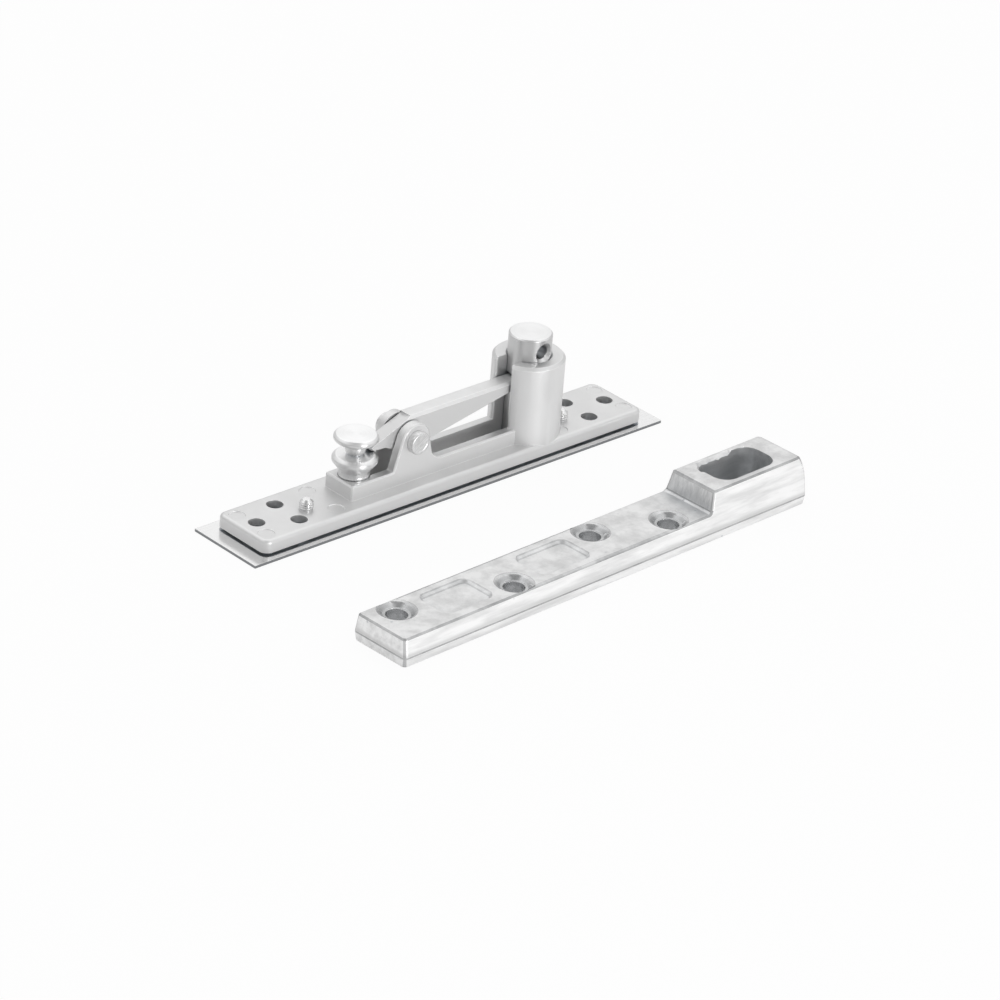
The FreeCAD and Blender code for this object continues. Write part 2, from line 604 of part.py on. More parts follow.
def door_strap():
    """The door half: a drafted casting with a raised socket block, four screw holes and two recesses."""
    upper = upper_strap()
    body = upper.fuse(lower_strap(upper))
    socket_x = STRAP_LENGTH / 2 - SOCKET_FROM_END
    floor = SOCKET_BLOCK_TOP - SOCKET_DEPTH
    cuts = [rounded_prism(SOCKET_LENGTH, SOCKET_WIDTH, SOCKET_CORNER,
                          floor, SOCKET_BLOCK_TOP + CUT, socket_x)]
    holes = strap_holes()
    for x, y in holes:
        cuts.append(upright(STRAP_HOLE_RADIUS, -CUT, STRAP_THICKNESS + CUT, x, y))
        cuts.append(countersink(STRAP_HEAD_RADIUS, STRAP_SEAT_RADIUS, STRAP_THICKNESS, 1, x, y))
    for first, second in zip(holes, holes[1:3]):
        reach = STRAP_HEAD_RADIUS + POCKET_MARGIN
        cuts.append(pocket(first[0] + reach, second[0] - reach))
    body = body.cut(cuts).removeSplitter()
    body.rotate(FreeCAD.Vector(0, 0, 0), FreeCAD.Vector(0, 0, 1), STRAP_TURN)
    body.translate(FreeCAD.Vector(STRAP_X, STRAP_Y, 0))
    return body


def build():
    """Every piece by its node name."""
    left, right = [cover_screw(x, y) for x, y in cover_screw_places()]
    return {
        "frame_body": frame_body(),
        "cover_plate": cover_plate(),
        "cover_screw_left": left,
        "cover_screw_right": right,
        "hinge_pin": hinge_pin(),
        "lever": lever(),
        "pivot_pin": pivot_pin(),
        "adjusting_screw": adjusting_screw(),
        "door_strap": door_strap(),
    }


os.makedirs("parts", exist_ok=True)
for name, shape in build().items():
    solid = shape.Solids[0] if len(shape.Solids) == 1 else shape
    solid.exportStep(os.path.join("parts", name + ".step"))
    print(f"{name}: {len(shape.Solids)} solid, valid {shape.isValid()}, {shape.Volume:.0f} mm3")
print(f"lever turn {math.degrees(LEVER_TURN):.3f} degrees")
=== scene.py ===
"""Finish and fine detail of a door top pivot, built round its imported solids.

The frame half lies on its cover plate with the rocker, the adjusting screw and the pivot pin on top, and
the strap for the door lies beside it. Every place is in metres in the frame of the solids. Sizes of the
pieces are written in millimetres times MM, and those of the floor, the lamps and the camera in metres.
"""

import json
import logging
import math
from dataclasses import dataclass
from enum import Enum
from functools import cached_property

import bmesh
import bpy
from mathutils import Matrix, Vector, noise


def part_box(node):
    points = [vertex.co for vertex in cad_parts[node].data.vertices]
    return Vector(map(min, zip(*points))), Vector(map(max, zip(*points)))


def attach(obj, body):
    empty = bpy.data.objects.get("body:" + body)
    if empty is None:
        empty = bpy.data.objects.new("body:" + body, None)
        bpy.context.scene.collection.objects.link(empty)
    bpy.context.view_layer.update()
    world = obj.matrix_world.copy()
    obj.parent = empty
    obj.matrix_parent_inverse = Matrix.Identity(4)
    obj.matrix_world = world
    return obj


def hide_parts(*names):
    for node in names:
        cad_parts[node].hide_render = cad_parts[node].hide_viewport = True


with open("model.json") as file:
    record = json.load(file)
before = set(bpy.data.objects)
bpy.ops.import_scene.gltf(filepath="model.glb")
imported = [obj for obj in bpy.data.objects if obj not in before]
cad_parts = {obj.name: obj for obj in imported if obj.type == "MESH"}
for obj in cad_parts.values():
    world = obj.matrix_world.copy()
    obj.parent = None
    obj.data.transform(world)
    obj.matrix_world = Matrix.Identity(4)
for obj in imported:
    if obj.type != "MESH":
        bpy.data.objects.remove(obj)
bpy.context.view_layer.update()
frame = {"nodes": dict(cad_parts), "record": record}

MM = 0.001
LOG = logging.getLogger("top_pivot")
BODY_OF = {node: body for body, nodes in frame["record"]["behaviour"]["bodies"].items() for node in nodes}

# Layers of the strap's faces: painted dark lines of shade and the broken coat, the walls of a bore, the
# face drawn by the mould
SHADE_AND_WEAR = "shade_and_wear_layer"
BORED = "bored"
DRAWN = "drawn"

# Tolerances of the meshes
WELD = 0.002 * MM
SLIVER = 0.001 * MM
FLAT_ANGLE = math.radians(0.3)
ON_AXIS = 1e-9
MERGE = 1e-7

# How fine the turned shapes are
ROUNDING_STEPS = 5
THREAD_STEPS = 48
THREAD_SINK = 0.02 * MM

Corner = tuple[float, float, float]
Band = tuple[float, float]
Colour = tuple[float, float, float, float]
Socket = bpy.types.NodeSocket
Value = Socket | float
Tint = Socket | Colour
Shape = bmesh.types.BMesh
Edge = bmesh.types.BMEdge
Face = bmesh.types.BMFace

ORIGIN = Vector((0.0, 0.0, 0.0))
UP = Vector((0.0, 0.0, 1.0))


class Axis(Enum):
    """The direction that a turned piece was turned about."""

    ALONG_Y = Vector((0.0, 1.0, 0.0))
    UPRIGHT = UP


class ShadeAndWear(Enum):
    """Marks of the strap's faces: a share of dark line, mostly painted shade, or below 0 a broken coat."""

    CLEAN = 0.0
    RECESS_WALL = 0.1
    SINK = 0.5
    SINK_RIM = 0.65
    DRAWN_FRAME = 0.7
    FOLD = 0.75
    OUTER = 0.85
    PARTING = 0.95
    BROKEN = -0.6


def grey(level: float, warmth: float = 0.0) -> Colour:
    """A near-neutral metal colour.

    Args:
        level: Its linear brightness.
        warmth: How far it leans to red, or to blue where negative.

    Returns:
        The colour with full opacity.
    """
    return (level * (1.0 + warmth), level, level * (1.0 - warmth), 1.0)


def dimmed(colour: Colour, share: float) -> Colour:
    """A darker version of a colour.

    Args:
        colour: The colour.
        share: How much of its brightness is kept.

    Returns:
        The darker colour with full opacity.
    """
    return tuple(channel * share for channel in colour[:3]) + (1.0,)


class Graph:
    """A node tree, with one short call for each node that the finishes and the room need."""

    edge_samples: int = 6
    edge_agreement: Band = (0.998, 0.90)
    shelter_samples: int = 8
    cloud_range: Band = (0.3, 0.7)
    quarter_turn: float = 0.25

    def __init__(self, owner: bpy.types.Material | bpy.types.World) -> None:
        """Start an empty tree.

        Args:
            owner: The new material or world that the tree belongs to.
        """
        owner.use_nodes = True
        self.owner = owner
        self.tree = owner.node_tree
        self.tree.nodes.clear()

    def add(self, kind: str, inputs: dict | None = None, **settings: object) -> bpy.types.Node:
        """Add a node, set its options and fill its inputs.

        Args:
            kind: The node's type without its ShaderNode prefix.
            inputs: Input names or numbers, each with a socket to link or a constant.
            settings: Options of the node.

        Returns:
            The new node.
        """
        node = self.tree.nodes.new("ShaderNode" + kind)
        for key, value in settings.items():
            setattr(node, key, value)
        for key, value in (inputs or {}).items():
            if isinstance(value, Socket):
                self.tree.links.new(value, node.inputs[key])
            else:
                node.inputs[key].default_value = value
        return node

    def math(self, operation: str, first: Value, second: Value = 0.0) -> Socket:
        """Join two values by one arithmetic step.

        Args:
            operation: The Math node's operation.
            first: A socket or a number.
            second: A socket or a number.

        Returns:
            The socket of the result.
        """
        return self.add("Math", {0: first, 1: second}, operation=operation).outputs[0]

    def dot(self, first: Socket, second: Socket | Vector | Corner) -> Socket:
        """The dot product of two vectors.

        Args:
            first: The socket of a vector.
            second: A socket or a vector.

        Returns:
            The socket of the product.
        """
        return self.add("VectorMath", {0: first, 1: second}, operation="DOT_PRODUCT").outputs["Value"]

    def pair(self, first: Socket, second: Socket) -> Socket:
        """A flat point made of two values.

        Args:
            first: The socket of its X.
            second: The socket of its Y.

        Returns:
            The socket of the point.
        """
        return self.add("CombineXYZ", {"X": first, "Y": second}).outputs[0]

    def height(self, vector: Socket) -> Socket:
        """The Z of a vector.

        Args:
            vector: The socket of the vector.

        Returns:
            The socket of its Z.
        """
        return self.add("SeparateXYZ", {0: vector}).outputs["Z"]

    def facing(self) -> Socket:
        """The normal of the surface."""
        return self.add("NewGeometry").outputs["Normal"]

    def layer(self, name: str) -> Socket:
        """The value that the mesh holds for a face.

        Args:
            name: The layer's name.

        Returns:
            The socket of the value.
        """
        return self.add("Attribute", attribute_name=name).outputs["Fac"]

    def span(self, value: Value, low: float, high: float, to_low: float = 0.0, to_high: float = 1.0,
             smooth: bool = False) -> Socket:
        """Carry a value from one range into another, held at the ends.

        Args:
            value: The socket to carry over.
            low: The value that becomes to_low.
            high: The value that becomes to_high.
            to_low: The result at low.
            to_high: The result at high.
            smooth: Whether the result eases in and out.

        Returns:
            The socket of the result.
        """
        inputs = {"Value": value, "From Min": low, "From Max": high, "To Min": to_low, "To Max": to_high}
        kind = "SMOOTHSTEP" if smooth else "LINEAR"
        return self.add("MapRange", inputs, clamp=True, interpolation_type=kind).outputs["Result"]

    def blend(self, share: Value, first: Tint, second: Tint) -> Socket:
        """Mix two colours.

        Args:
            share: How much of the second colour shows.
            first: A socket or a colour.
            second: A socket or a colour.

        Returns:
            The socket of the mixed colour.
        """
        node = self.add("Mix", data_type="RGBA")
        colours = [socket for socket in node.inputs if socket.type == "RGBA"]
        for socket, value in zip([node.inputs["Factor"], *colours], (share, first, second)):
            if isinstance(value, Socket):
                self.tree.links.new(value, socket)
            else:
                socket.default_value = value
        return [socket for socket in node.outputs if socket.type == "RGBA"][0]

    def place(self, scale: Corner = (1.0, 1.0, 1.0), shift: Corner = (0.0, 0.0, 0.0)) -> Socket:
        """The point on the piece in metres, moved and then stretched.

        Args:
            scale: The stretch along each axis.
            shift: The move along each axis.

        Returns:
            The socket of the point.
        """
        point = self.add("TexCoord").outputs["Object"]
        moved_point = self.add("VectorMath", {0: point, 1: shift}, operation="ADD").outputs[0]
        return self.add("VectorMath", {0: moved_point, 1: scale}, operation="MULTIPLY").outputs[0]

    def noise(self, point: Socket, size: float, detail: float = 3.0, rough: float = 0.55) -> Socket:
        """Cloudy variation over the surface.

        Args:
            point: The socket of the point.
            size: The width of one cloud in metres.
            detail: How many finer layers lie over it.
            rough: How strong those layers are.

        Returns:
            The socket of a value about 0.5.
        """
        inputs = {"Vector": point, "Scale": 1.0 / size, "Detail": detail, "Roughness": rough}
        return self.add("TexNoise", inputs).outputs["Fac"]

    def open_edge(self, width: float) -> tuple[Socket, Socket]:
        """A softened normal, and a mask of the edges that it softens.

        Args:
            width: The radius of the softening in metres.

        Returns:
            The socket of the softened normal and the socket of the mask.
        """
        soft = self.add("Bevel", {"Radius": width}, samples=self.edge_samples).outputs["Normal"]
        return soft, self.span(self.dot(soft, self.facing()), *self.edge_agreement)

    def shelter(self, reach: float, open_share: float, closed_share: float = 0.06,
                alone: bool = False) -> Socket:
        """How open a place is: 1 in the open, towards 0 in holes and gaps.

        Args:
            reach: How far walls count, in metres.
            open_share: The share of open sky above which a place counts as open.
            closed_share: The share of open sky below which a place counts as closed.
            alone: Whether only the piece's own walls count.

        Returns:
            The socket of the openness.
        """
        settings = {"samples": self.shelter_samples, "only_local": alone}
        openness = self.add("AmbientOcclusion", {"Distance": reach}, **settings).outputs["AO"]
        return self.span(openness, closed_share, open_share)

    def bump(self, height: Socket, strength: float, depth: float, normal: Socket) -> Socket:
        """Small relief.

        Args:
            height: The socket of the height.
            strength: The share of the relief that shows.
            depth: The height of the relief in metres.
            normal: The normal that it is laid over.

        Returns:
            The socket of the new normal.
        """
        inputs = {"Height": height, "Strength": strength, "Distance": depth, "Normal": normal}
        return self.add("Bump", inputs).outputs["Normal"]

    def uneven(self, clouds: Socket, roughness: float, swing: Band) -> Socket:
        """A roughness that changes from cloud to cloud.

        Args:
            clouds: The socket of the clouds.
            roughness: The roughness in the middle.
            swing: What is added to it where the clouds are thin, and where they are thick.

        Returns:
            The socket of the roughness.
        """
        return self.span(clouds, *self.cloud_range, roughness + swing[0], roughness + swing[1])

    def metal(self, colour: Tint, roughness: Value, normal: Socket, share: float = 1.0,
              ringed: float = 0.0) -> bpy.types.Material:
        """Finish the tree with a bare metal surface.

        Args:
            colour: A socket or a colour.
            roughness: A socket or a number.
            normal: The socket of the normal.
            share: How metallic the surface is, less for a dull skin.
            ringed: How far the rings of a lathe stretch its highlights across them.

        Returns:
            The finished material.
        """
        inputs = {"Base Color": colour, "Roughness": roughness, "Normal": normal, "Metallic": share,
                  "Anisotropic": ringed, "Anisotropic Rotation": self.quarter_turn}
        shader = self.add("BsdfPrincipled", inputs)
        self.add("OutputMaterial", {"Surface": shader.outputs["BSDF"]})
        return self.owner


@dataclass(frozen=True)
class CastFinish:
    """A satin casting: fine grain, soft clouds, rubbed edges with painted highlight, painted shade in
    hollows.
    """

    name: str
    tone: Colour
    hollow_shade: Colour
    rubbed_and_highlight: Colour
    cloud: float = 9.0 * MM
    cloud_depth: float = 0.06
    cloud_band: Band = (0.35, 0.65)
    grain: float = 0.35 * MM
    grain_height: float = 0.012 * MM
    roughness: float = 0.42
    swing: Band = (-0.05, 0.06)
    edge: float = 0.3 * MM
    edge_share: float = 0.8
    reach: float = 8.0 * MM
    open_share: float = 0.27
    metallic: float = 0.75
    flank_shade: float = 1.0
    flank_band: Band = (0.3, 0.7)

    def material(self) -> bpy.types.Material:
        """The finish as a material."""
        graph = Graph(bpy.data.materials.new(self.name))
        point = graph.place()
        soft, rim = graph.open_edge(self.edge)
        clouds = graph.noise(point, self.cloud, detail=4.0)
        grain = graph.noise(point, self.grain, detail=2.0)
        clouded = dimmed(self.tone, 1.0 - self.cloud_depth)
        colour = graph.blend(graph.span(clouds, *self.cloud_band), clouded, self.tone)
        # Painted shade: faces that turn away from upward take a dimmer tone, so flanks are darker than
        # tops.
        upward = graph.span(graph.height(graph.facing()), *self.flank_band)
        colour = graph.blend(upward, dimmed(self.tone, self.flank_shade), colour)
        # Painted highlight, partly rubbed wear: edges are lightened towards the bright edge colour.
        colour = graph.blend(graph.math("MULTIPLY", rim, self.edge_share), colour, self.rubbed_and_highlight)
        # Painted shade: sheltered places take the dark hollow colour.
        colour = graph.blend(graph.shelter(self.reach, self.open_share), self.hollow_shade, colour)
        relief = graph.bump(grain, strength=0.6, depth=self.grain_height, normal=soft)
        return graph.metal(colour, graph.uneven(clouds, self.roughness, self.swing), relief, self.metallic)


@dataclass(frozen=True)
class StrapFinish:
    """A plated rough casting: mottled and pitted on top; its smoother drafted sides are lighter, partly
    painted light.
    """

    name: str
    top: Colour
    stain: Colour
    side: Colour
    hollow_shade: Colour
    line: Colour
    bright: Colour
    metallic: float = 0.8
    roughness: float = 0.36
    swing: Band = (0.08, -0.06)
    bored_roughness: float = 0.5
    edge: float = 0.25 * MM
    grain: float = 0.5 * MM
    grain_height: float = 0.02 * MM
    cloud: float = 7.0 * MM
    stain_band: Band = (0.40, 0.62)
    level_band: Band = (0.45, 0.75)
    pit: float = 5.5 * MM
    pit_size: float = 0.10
    pit_depth: float = 0.25 * MM
    pit_share: float = 0.55
    pitted_band: Band = (0.52, 0.58)
    streak: float = 3.0 * MM
    streak_stretch: Corner = (0.12, 1.0, 1.0)
    streak_band: Band = (0.40, 0.64)
    streak_share: float = 0.6
    parting_height: float = 4.1 * MM
    parting_core: float = 0.1 * MM
    parting_width: float = 1.3 * MM
    parting_share: float = 0.75
    brush: float = 1.1 * MM
    brush_stretch: Corner = (1.0, 1.0, 0.1)
    brush_band: Band = (0.34, 0.66)
    brush_share: float = 0.7
    reach: float = 14.0 * MM
    open_share: float = 0.93
    closed_share: float = 0.5
    bored_openness: float = 0.7
    least_openness: float = 0.6
    line_band: Band = (0.3, 0.6)
    line_share: Band = (0.95, 0.6)
    tear: float = 1.8 * MM
    tear_band: Band = (0.46, 0.54)

    def flanks(self, graph: Graph, point: Socket) -> Socket:
        """The streaked sides, darker in a band along the parting line.

        Args:
            graph: The material's tree.
            point: The socket of the point.

        Returns:
            The socket of the colour.
        """
        streaks = graph.noise(graph.place(scale=self.streak_stretch), self.streak, detail=4.0, rough=0.6)
        streaked = graph.span(streaks, *self.streak_band, 0.0, self.streak_share)
        away = graph.math("ABSOLUTE", graph.math("SUBTRACT", graph.height(point), self.parting_height))
        dull = graph.span(away, self.parting_core, self.parting_width, self.parting_share, 0.0)
        return graph.blend(dull, graph.blend(streaked, self.side, self.stain), self.stain)

    def skin(self, graph: Graph, point: Socket, clouds: Socket) -> Socket:
        """The mottled top, the sides and the brushed face of the block.

        Args:
            graph: The material's tree.
            point: The socket of the point.
            clouds: The socket of the clouds.

        Returns:
            The socket of the colour.
        """
        mottled = graph.blend(graph.span(clouds, *self.stain_band), self.stain, self.top)
        upward = graph.span(graph.height(graph.facing()), *self.level_band)
        brushing = graph.noise(graph.place(scale=self.brush_stretch), self.brush, detail=3.0, rough=0.7)
        lines = graph.span(brushing, *self.brush_band, 0.0, self.brush_share)
        brushed = graph.blend(lines, self.side, self.stain)
        # Partly painted light: upright faces take the lighter side colour, level faces the mottled top.
        cast = graph.blend(upward, self.flanks(graph, point), mottled)
        return graph.blend(graph.layer(DRAWN), cast, brushed)

    def pits(self, graph: Graph, point: Socket) -> Socket:
        """The small round pits that lie in some stretches of the casting.

        Args:
            graph: The material's tree.
            point: The socket of the point.

        Returns:
            The socket of a mask of the pits.
        """
        cells = graph.add("TexVoronoi", {"Vector": point, "Scale": 1.0 / self.pit}).outputs["Distance"]
        pitted = graph.span(graph.noise(point, 2.0 * self.pit, detail=1.0), *self.pitted_band)
        round_pits = graph.span(cells, 0.5 * self.pit_size, self.pit_size, 1.0, 0.0)
        return graph.math("MULTIPLY", round_pits, pitted)

    def lay_shade_and_wear(self, graph: Graph, point: Socket, clouds: Socket, colour: Socket) -> Socket:
        """Lay painted shade in the hollows, dark lines at the edges, mostly painted shade, and the broken
        coat over a colour.

        Args:
            graph: The material's tree.
            point: The socket of the point.
            clouds: The socket of the clouds.
            colour: The socket of the colour.

        Returns:
            The socket of the new colour.
        """
        # Painted shade: the strap's own hollows and the foot of the block take the hollow colour, bores
        # less so.
        openness = graph.shelter(self.reach, self.open_share, self.closed_share, alone=True)
        least = graph.math("MULTIPLY", graph.layer(BORED), self.bored_openness)
        least = graph.math("MAXIMUM", least, self.least_openness)
        colour = graph.blend(graph.math("MAXIMUM", openness, least), self.hollow_shade, colour)
        # Painted shade and painted dark reflection: marked edges, folds and countersinks take the dark line
        # colour.
        shade_and_wear_layer = graph.layer(SHADE_AND_WEAR)
        faded = graph.span(clouds, *self.line_band, *self.line_share)
        lined = graph.math("MULTIPLY", graph.span(shade_and_wear_layer, 0.0, 1.0), faded)
        colour = graph.blend(lined, colour, self.line)
        torn = graph.span(graph.noise(point, self.tear, detail=3.0), *self.tear_band)
        broken = graph.math("MULTIPLY", graph.span(shade_and_wear_layer, 0.0, -1.0), torn)
        return graph.blend(broken, colour, self.bright)

    def material(self) -> bpy.types.Material:
        """The finish as a material."""
        graph = Graph(bpy.data.materials.new(self.name))
        point = graph.place()
        soft, _ = graph.open_edge(self.edge)
        clouds = graph.noise(point, self.cloud, detail=6.0, rough=0.65)
        pits = self.pits(graph, point)
        colour = self.skin(graph, point, clouds)
        # Painted shade in the pits: they take the dark hollow colour.
        colour = graph.blend(graph.math("MULTIPLY", pits, self.pit_share), colour, self.hollow_shade)
        colour = self.lay_shade_and_wear(graph, point, clouds, colour)
        grain = graph.noise(point, self.grain, detail=3.0)
        relief = graph.bump(grain, strength=0.5, depth=self.grain_height, normal=soft)
        uneven = graph.math("SUBTRACT", clouds, pits)
        relief = graph.bump(uneven, strength=0.35, depth=self.pit_depth, normal=relief)
        roughness = graph.uneven(clouds, self.roughness, self.swing)
        smoother = graph.span(graph.layer(BORED), 0.0, 1.0, 1.0, self.bored_roughness)
        return graph.metal(colour, graph.math("MULTIPLY", roughness, smoother), relief, self.metallic)


@dataclass(frozen=True)
class TurnedFinish:
    """Bright steel with the fine rings that a lathe leaves round its axis, and painted light on its end
    faces.
    """

    name: str
    tone: Colour
    square_face_light: Colour
    hollow_shade: Colour
    centre: Corner
    axis: Axis = Axis.UPRIGHT
    roughness: float = 0.2
    swing: Band = (-0.03, 0.06)
    cloud: float = 6.0 * MM
    ring: float = 0.3 * MM
    ring_height: float = 0.0015 * MM
    ring_band: Band = (0.4, 0.6)
    ring_depth: float = 0.10
    ringed: float = 0.6
    square_face_band: Band = (0.5, 0.9)
    edge: float = 0.25 * MM
    reach: float = 6.0 * MM
    open_share: float = 0.42

    def rings(self, graph: Graph) -> Socket:
        """The rings round the axis.

        Args:
            graph: The material's tree.

        Returns:
            The socket of a value about 0.5.
        """
        centred = graph.place(shift=tuple(-value for value in self.centre))
        along = graph.dot(centred, self.axis.value)
        lifted = graph.add("VectorMath", {0: self.axis.value, "Scale": along}, operation="SCALE").outputs[0]
        outward = graph.add("VectorMath", {0: centred, 1: lifted}, operation="SUBTRACT").outputs[0]
        radius = graph.add("VectorMath", {0: outward}, operation="LENGTH").outputs["Value"]
        return graph.noise(graph.pair(radius, along), self.ring, detail=2.0, rough=0.7)

    def material(self) -> bpy.types.Material:
        """The finish as a material."""
        graph = Graph(bpy.data.materials.new(self.name))
        rings = self.rings(graph)
        clouds = graph.noise(graph.place(), self.cloud, detail=3.0)
        soft, _ = graph.open_edge(self.edge)
        square = graph.math("ABSOLUTE", graph.dot(graph.facing(), self.axis.value))
        # Painted light: faces square to the axis take a lighter colour than the turned sides.
        tone = graph.blend(graph.span(square, *self.square_face_band), self.tone, self.square_face_light)
        colour = graph.blend(graph.span(rings, *self.ring_band, self.ring_depth, 0.0), tone, self.hollow_shade)
        # Painted shade: sheltered places take the dark hollow colour.
        colour = graph.blend(graph.shelter(self.reach, self.open_share), self.hollow_shade, colour)
        relief = graph.bump(rings, strength=0.5, depth=self.ring_height, normal=soft)
        roughness = graph.uneven(clouds, self.roughness, self.swing)
        return graph.metal(colour, roughness, relief, ringed=self.ringed)


@dataclass(frozen=True)
class StruckFinish:
    """Dull steel with the slanting scratches and the dents of a struck rivet head."""

    name: str
    tone: Colour
    hollow_shade: Colour
    roughness: float = 0.42
    scratch: float = 0.45 * MM
    scratch_across: Corner = (-0.6, 0.0, 0.8)
    scratch_along: Corner = (0.16, 0.3, 0.12)
    scratch_band: Band = (0.38, 0.6)
    scratch_tone: float = 0.78
    scratch_depth: float = 0.04 * MM
    dent: float = 1.6 * MM
    dent_depth: float = 0.25 * MM
    edge: float = 0.3 * MM
    reach: float = 5.0 * MM
    open_share: float = 0.42

    def material(self) -> bpy.types.Material:
        """The finish as a material."""
        graph = Graph(bpy.data.materials.new(self.name))
        point = graph.place()
        slanted = graph.pair(graph.dot(point, self.scratch_across), graph.dot(point, self.scratch_along))
        scratches = graph.noise(slanted, self.scratch, detail=3.0, rough=0.7)
        dents = graph.noise(point, self.dent, detail=2.0)
        soft, _ = graph.open_edge(self.edge)
        scratched = dimmed(self.tone, self.scratch_tone)
        colour = graph.blend(graph.span(scratches, *self.scratch_band), scratched, self.tone)
        # Painted shade: sheltered places take the dark hollow colour.
        colour = graph.blend(graph.shelter(self.reach, self.open_share), self.hollow_shade, colour)
        relief = graph.bump(dents, strength=0.8, depth=self.dent_depth, normal=soft)
        relief = graph.bump(scratches, strength=0.8, depth=self.scratch_depth, normal=relief)
        return graph.metal(colour, self.roughness, relief)


@dataclass(frozen=True)
class SheetFinish:
    """Polished stainless sheet with fine lines along its length and darker upright edges."""

    name: str
    tone: Colour
    hollow_shade: Colour
    edge_tone: Colour
    roughness: float = 0.12
    swing: Band = (0.0, 0.08)
    cloud: float = 14.0 * MM
    line: float = 0.12 * MM
    line_stretch: Corner = (0.015, 1.0, 1.0)
    line_band: Band = (0.4, 0.6)
    line_tone: float = 0.93
    line_depth: float = 0.002 * MM
    flat_band: Band = (0.4, 0.6)
    edge: float = 0.12 * MM
    reach: float = 2.5 * MM
    open_share: float = 0.4

    def material(self) -> bpy.types.Material:
        """The finish as a material."""
        graph = Graph(bpy.data.materials.new(self.name))
        lines = graph.noise(graph.place(scale=self.line_stretch), self.line, detail=3.0, rough=0.7)
        clouds = graph.noise(graph.place(), self.cloud, detail=3.0)
        soft, _ = graph.open_edge(self.edge)
        lined = dimmed(self.tone, self.line_tone)
        colour = graph.blend(graph.span(lines, *self.line_band), lined, self.tone)
        level = graph.math("ABSOLUTE", graph.height(graph.facing()))
        # Faces that stand upright, the sheet's edges, take a darker colour.
        colour = graph.blend(graph.span(level, *self.flat_band), self.edge_tone, colour)
        # Painted shade: sheltered places, such as the gap under the casting, take the dark hollow colour.
        colour = graph.blend(graph.shelter(self.reach, self.open_share), self.hollow_shade, colour)
        relief = graph.bump(lines, strength=0.3, depth=self.line_depth, normal=soft)
        return graph.metal(colour, graph.uneven(clouds, self.roughness, self.swing), relief)


def as_object(name: str, shape: Shape) -> bpy.types.Object:
    """Put a bmesh into the scene.

    Args:
        name: The name of the object and of its mesh.
        shape: The mesh, which is freed.

    Returns:
        The new object.
    """
    mesh = bpy.data.meshes.new(name)
    shape.to_mesh(mesh)
    shape.free()
    item = bpy.data.objects.new(name, mesh)
    bpy.context.scene.collection.objects.link(item)
    return item


def new_piece(name: str, shape: Shape, crease: float = 28.0) -> bpy.types.Object:
    """Make an object from a finished bmesh, smooth apart from its creases.

    Args:
        name: The object's name.
        shape: The mesh, which is freed.
        crease: The angle in degrees above which an edge stays sharp.

    Returns:
        The new object.
    """
    for face in shape.faces:
        face.smooth = True
    for edge in shape.edges:
        edge.smooth = edge.calc_face_angle(0.0) < math.radians(crease)
    piece = as_object(name, shape)
    weighted = piece.modifiers.new("even_normals", "WEIGHTED_NORMAL")
    weighted.keep_sharp = True
    return piece


def welded(node: str) -> Shape:
    """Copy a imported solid's mesh, with its loose triangles joined and its flat faces whole.

    Args:
        node: The solid's name.

    Returns:
        A closed bmesh in the same place.
    """
    shape = bmesh.new()
    shape.from_mesh(frame["nodes"][node].data)
    bmesh.ops.remove_doubles(shape, verts=shape.verts, dist=WELD)
    bmesh.ops.dissolve_degenerate(shape, dist=SLIVER, edges=shape.edges)
    bmesh.ops.dissolve_limit(shape, angle_limit=FLAT_ANGLE, verts=shape.verts, edges=shape.edges)
    return shape


def carve(shape: Shape, cutters: list[Shape]) -> Shape:
    """Cut closed shapes out of another.

    Args:
        shape: The mesh to cut, which is freed.
        cutters: The meshes to cut away, which are freed.

    Returns:
        The cut mesh.
    """
    tools = bmesh.new()
    for cutter in cutters:
        part = bpy.data.meshes.new("cutter_part")
        cutter.to_mesh(part)
        cutter.free()
        tools.from_mesh(part)
        bpy.data.meshes.remove(part)
    target = as_object("carved", shape)
    tool = as_object("carver", tools)
    cut = target.modifiers.new("carve", "BOOLEAN")
    cut.object = tool
    cut.operation = "DIFFERENCE"
    cut.solver = "EXACT"
    bpy.context.view_layer.update()
    result = bpy.data.meshes.new_from_object(target.evaluated_get(bpy.context.evaluated_depsgraph_get()))
    done = bmesh.new()
    done.from_mesh(result)
    bpy.data.meshes.remove(result)
    for item in (target, tool):
        mesh = item.data
        bpy.data.objects.remove(item)
        bpy.data.meshes.remove(mesh)
    return done


def lathe(corners: list[Corner], steps: int = 96) -> Shape:
    """Turn a profile about the Z axis.

    Args:
        corners: Points of the profile as (radius, height, rounding), from the axis and back to it.
        steps: How many facets go round.

    Returns:
        A closed bmesh about the Z axis.
    """
    shape = bmesh.new()
    verts = [shape.verts.new((radius, 0.0, height)) for radius, height, _ in corners]
    shape.faces.new(verts)
    groups: dict[float, list[bmesh.types.BMVert]] = {}
    for vert, (_, _, rounding) in zip(verts, corners):
        groups.setdefault(rounding, []).append(vert)
    for rounding in sorted(groups):
        if rounding > 0.0:
            bmesh.ops.bevel(shape, geom=groups[rounding], offset=rounding, offset_type="OFFSET",
                            affect="VERTICES", segments=ROUNDING_STEPS, profile=0.5, material=-1)
    bmesh.ops.delete(shape, geom=list(shape.faces), context="FACES_ONLY")
    core = [edge for edge in shape.edges if all(vert.co.x < ON_AXIS for vert in edge.verts)]
    bmesh.ops.delete(shape, geom=core, context="EDGES")
    bmesh.ops.spin(shape, geom=list(shape.verts) + list(shape.edges), cent=ORIGIN, axis=UP, dvec=ORIGIN,
                   angle=2.0 * math.pi, steps=steps, use_merge=True, use_duplicate=False)
    bmesh.ops.remove_doubles(shape, verts=shape.verts, dist=MERGE)
    bmesh.ops.recalc_face_normals(shape, faces=shape.faces)
    return shape


